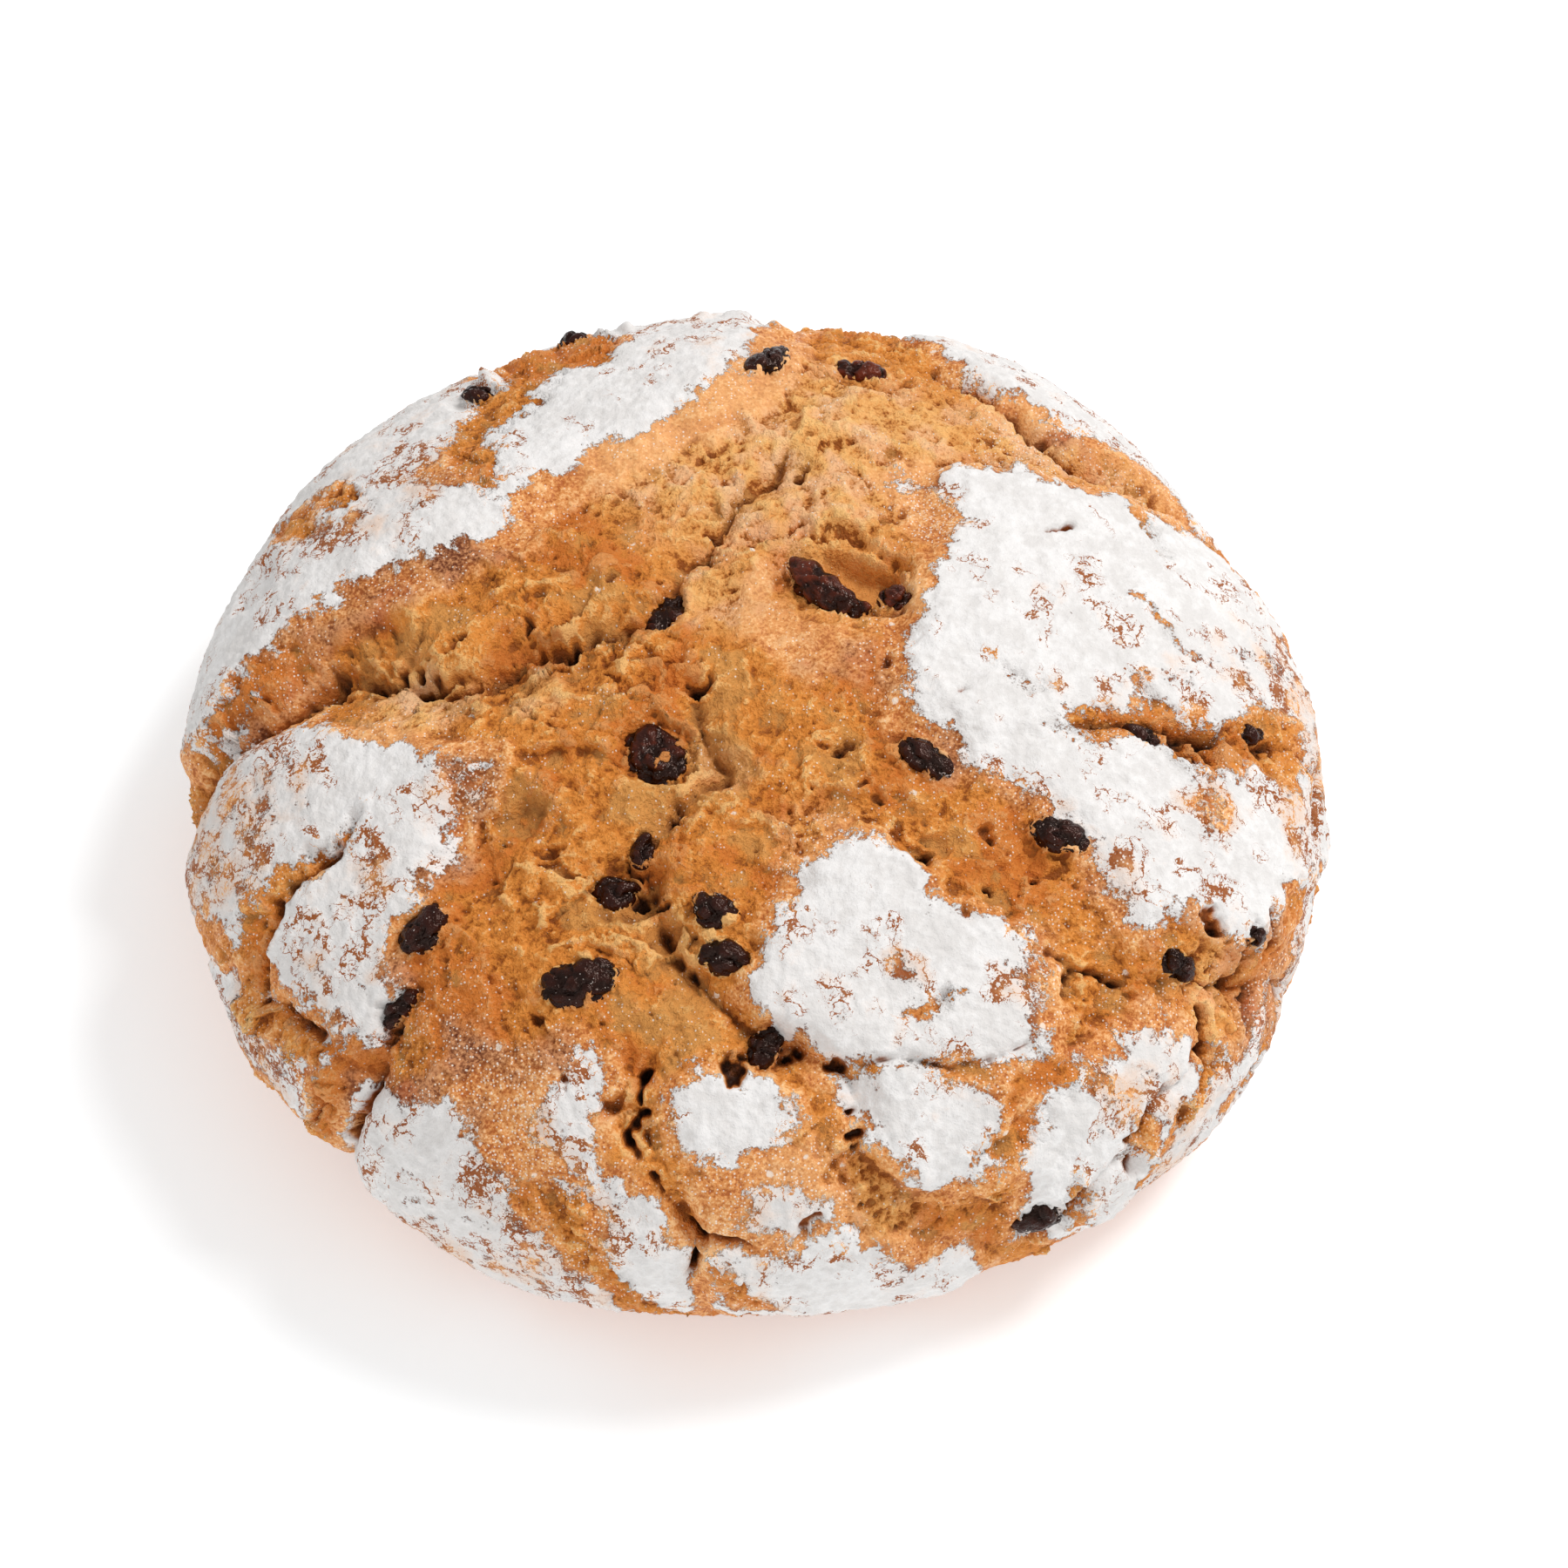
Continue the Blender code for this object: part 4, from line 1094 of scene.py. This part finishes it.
def powder_colour(s, small):
    """Whole flour, thin and warm where it is worn."""
    powder = s.ramp(s.sum(small, "middle"), POWDER)
    thin = s.ease(0.0, 1.1, s.sum("worn", (0.6, "middle"), (0.3, small)))
    return s.mix(s.times(0.55, thin), powder, THIN_POWDER)


def flour_fill(s, small, fine):
    """How thick the flour lies: above 0 it hides the crust."""
    depth = s.math("MINIMUM", "flour", 2.6)
    return s.sum((0.35, depth), (0.7, "cloud"), (0.35, small), (0.35, fine), (-0.85, "worn"), 0.1)


def flour_gaps(s, small, fine):
    """Short ragged cracks and bald dots in the flour, in patches and where it is worn."""
    bald = s.sum(0.16, (0.7, "patchy"), (0.6, "worn"), (0.35, "middle"), (0.12, small))
    wrinkle = s.math("ABSOLUTE", s.sum("wrinkle", (0.24, small), (0.24, fine)))
    crack = s.ease(0.0, 0.06, s.sum((0.34, bald), (-1.0, wrinkle)))
    line = s.math("ABSOLUTE", s.sum(s.noise(2.2, 3, 0.6, warp=0.6, shift=77), (0.12, fine)))
    hair = s.ease(0.0, 0.05, s.sum((0.13, bald), (-1.0, line)))
    dot = s.ease(0.66, 0.76, s.sum((0.5, fine), (0.35, small), (0.45, bald)))
    return s.math("MAXIMUM", s.math("MAXIMUM", crack, hair), dot)


def crust_finish():
    s = Shader("bread_crust")
    small, fine = s.noise(1.5, 3, 0.62, shift=31), s.noise(0.5, 2, 0.6, shift=57)
    fill = flour_fill(s, small, fine)
    whole = s.math("SUBTRACT", 1.0, flour_gaps(s, small, fine), clamp=True)
    covered = s.times(s.ease(-0.1, 0.2, fill), whole, s.ease(1.4, 0.5, "tear"))
    looks = {
        "Base Color": s.mix(covered, dusted_crust(s, small, fine), powder_colour(s, small)),
        "Roughness": s.sum((0.3, covered), (0.14, "crumb"), 0.52),
        "Specular IOR Level": 0.22,
    }
    grain = s.sum((s.sum((0.15, "crumb"), 0.06), small), (s.sum((0.08, "crumb"), 0.04), fine))
    return s.finish(looks, s.sum(grain, (0.24, s.ease(-0.1, 0.25, fill))))


def raisin_finish():
    s = Shader("raisin_skin")
    small, fine = s.noise(1.3), s.noise(0.4, shift=23)
    colour = s.ramp(s.sum("warm", (0.35, small)), RAISIN)
    # Painted shade in the raisin's pushed-in folds and creases
    colour = s.mix(s.times(0.85, s.ease(0.1, 0.9, "fold")), colour, RAISIN_FOLD_SHADE)
    spread = s.sum((0.7, fine), (0.6, s.noise(2.4, shift=41)), (0.9, "dusted"))
    colour = s.mix(s.times(0.85, s.ease(0.85, 1.05, spread)), colour, RAISIN_FLOUR)
    colour = s.mix(s.times(0.5, s.dots(0.5, 0.1, 0.1)), colour, RAISIN_SPECK)
    s.surface["Specular Tint"].default_value = (1.0, 0.72, 0.62, 1.0)
    looks = {"Base Color": colour, "Roughness": s.sum((0.04, fine), 0.15), "Specular IOR Level": 0.28}
    return s.finish(looks, s.sum((0.04, fine), (0.12, small)))


def floor_finish():
    s = Shader("studio_floor")
    shade = s.ramp(s.noise(60), FLOOR)
    return s.finish({"Base Color": shade, "Roughness": 0.7, "Emission Color": WHITE,
                     "Emission Strength": 0.29})


# -------- pieces
BASE_SHARE = 0.997       # how far out the base's mesh reaches inside the crust's rim
DENTS = (0.4, 0.5)       # mm; middle and depth of the base's dents

# What the crust's material reads from the crust, and its value on the base
ON_BASE = {"high": 0.0, "swell": 0.0, "pale": 0.0, "browned": 1.0, "worn": 0.0, "light": 0.0, "dusty": 0.3,
           "cavity": 0.0, "sunk": 0.0, "flour": -3.0, "crumb": 0.0, "tear": 0.0, "groove": 0.0}
# Mottling that it reads: size in mm, seed, number of layers, and how each is lower than the one before
MOTTLING = {"broad": (16, 301, 1), "middle": (5, 302, 2, 0.6), "cloud": (4.5, 311, 3, 0.65),
            "patchy": (6, 331, 2)}

# Places on the map for the baked looks: (middle, radius) of the crust's disc and of the base's
CRUST_DISC = (0.42, 0.41)
BASE_DISC = (0.86, 0.12)


def make_raisins():
    """Each raisin with the name of the CAD raisin that it stands in for."""
    finish = raisin_finish()
    names = sorted(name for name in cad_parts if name.startswith("raisin"))
    return [(add_object("dried_" + name, raisin_mesh(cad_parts[name], seed), finish), name)
            for seed, name in enumerate(names)]


def base_points(rim):
    """The flat underside inside the rim, slightly dented."""
    chart = ring_places(BASE_RINGS, 1.0)
    angle = np.arctan2(rim[:, 1], rim[:, 0])
    order = np.argsort(angle)
    share = np.hypot(chart[:, 0], chart[:, 1])
    radius = np.interp(np.arctan2(chart[:, 1], chart[:, 0]), angle[order],
                       np.hypot(rim[:, 0], rim[:, 1])[order], period=2 * math.pi)
    flat = np.zeros((len(chart), 3))
    flat[:, :2] = chart / np.maximum(share, 1e-9)[:, None] * (radius * share * BASE_SHARE)[:, None]
    dented = DENTS[0] + DENTS[1] * layered(flat, 9, 401)
    flat[:, 2] = np.clip(dented, 0, 2) * ease(1.0, 0.9, share)
    return flat


def paint(mesh, crust, base):
    """Gives the mesh what the crust's material reads at each point."""
    edges = read(mesh.edges, "vertices", 2, np.int32)
    edges = edges[(edges < len(crust.chart)).all(1)]
    crust.high = relief_above(crust.height, edges, 16)
    crust.swell = relief_above(crust.height, edges, 150)
    for name, at_base in ON_BASE.items():
        give(mesh, name, np.concatenate([getattr(crust, name), np.full(len(base), at_base)]))
    places = np.concatenate([crust.dome, base])
    for name, layers in MOTTLING.items():
        give(mesh, name, layered(places, *layers))
    give(mesh, "wrinkle", layered(wavy(places, 1.0, 4, 320), 3.6, 321, 3, 0.65))


def lay_out(mesh, chart, base):
    """The map for the baked looks: the crust as one disc, the base as a small one in the corner."""
    crust_disc = CRUST_DISC[0] + CRUST_DISC[1] * chart / EDGE
    base_disc = BASE_DISC[0] + BASE_DISC[1] * base[:, :2] / np.abs(base[:, :2]).max()
    corners = read(mesh.loops, "vertex_index", 1, np.int32)[:, 0]
    layer = mesh.uv_layers.new(name="OFBake")
    places = np.concatenate([crust_disc, base_disc])[corners]
    layer.data.foreach_set("uv", places.ravel().astype(np.float32))


def loaf_mesh(crust):
    """The crust and the base as one mesh."""
    top = crust.points()
    base = base_points(top[-6 * RINGS:])
    outer = np.arange(len(top) - 6 * RINGS, len(top))
    inner = np.arange(len(base) - 6 * BASE_RINGS, len(base)) + len(top)
    base_faces = ring_faces(BASE_RINGS)[:, ::-1] + len(top)
    faces = np.concatenate([ring_faces(RINGS), base_faces, stitch(outer, inner)])
    mesh = mesh_from("loaf", np.concatenate([top, base]), faces)
    paint(mesh, crust, base)
    lay_out(mesh, crust.chart, base)
    return mesh


def make_bread():
    finish = crust_finish()
    raisins = make_raisins()
    crust = Crust(ring_places(RINGS, EDGE))
    seat_raisins(crust, [raisin for raisin, _ in raisins])
    bread = add_object("loaf", loaf_mesh(crust), finish)
    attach(bread, "root")
    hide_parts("bread")
    for raisin, name in raisins:
        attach(raisin, "root")
        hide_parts(name)


# -------- studio
FLOOR_HALF = 1.6         # m
FLOOR_GAP = 0.0001       # m; the floor lies this far below the loaf
MIDDLE = (0, 0, 0.03)    # m; what the lights point at


def make_floor():
    floor = bmesh.new()
    bmesh.ops.create_grid(floor, x_segments=8, y_segments=8, size=FLOOR_HALF)
    mesh = bpy.data.meshes.new("studio_floor")
    floor.to_mesh(mesh)
    floor.free()
    made = add_object("studio_floor", mesh, floor_finish())
    made.location.z = CAD_BOX[0][2] - FLOOR_GAP


def add_light(name, place, size, power):
    data = bpy.data.lights.new(name, "AREA")
    data.shape = "DISK"
    data.size = size
    data.energy = power
    lamp = add_object(name, data)
    lamp.location = place
    lamp.rotation_euler = (Vector(MIDDLE) - Vector(place)).to_track_quat("-Z", "Y").to_euler()


def light_studio():
    """White surroundings, a key light from behind on the right, and a weak wide one from the front."""
    world = bpy.data.worlds.new("studio")
    world.use_nodes = True
    world.node_tree.nodes["Background"].inputs["Color"].default_value = (1.0, 1.0, 1.0, 1.0)
    world.node_tree.nodes["Background"].inputs["Strength"].default_value = 0.56
    bpy.context.scene.world = world
    add_light("key", (0.74, 0.44, 1.15), size=0.5, power=11.1)
    add_light("fill", (-0.1, -1.0, 0.8), size=1.0, power=2.6)


def place_camera():
    """Azimuth 0, looking down on the loaf at the photograph's angle."""
    elevation = math.radians(58)
    distance = 0.65
    target = Vector((4.7, 3.8, 20.0)) * MM
    data = bpy.data.cameras.new("camera")
    data.sensor_width = 36
    data.lens = 95
    camera = add_object("camera", data)
    back = Vector((0, -math.cos(elevation), math.sin(elevation)))
    camera.location = target + back * distance
    camera.rotation_euler = back.to_track_quat("Z", "Y").to_euler()
    bpy.context.scene.camera = camera


make_bread()
make_floor()
light_studio()
place_camera()
bpy.context.scene.view_settings.view_transform = "Standard"
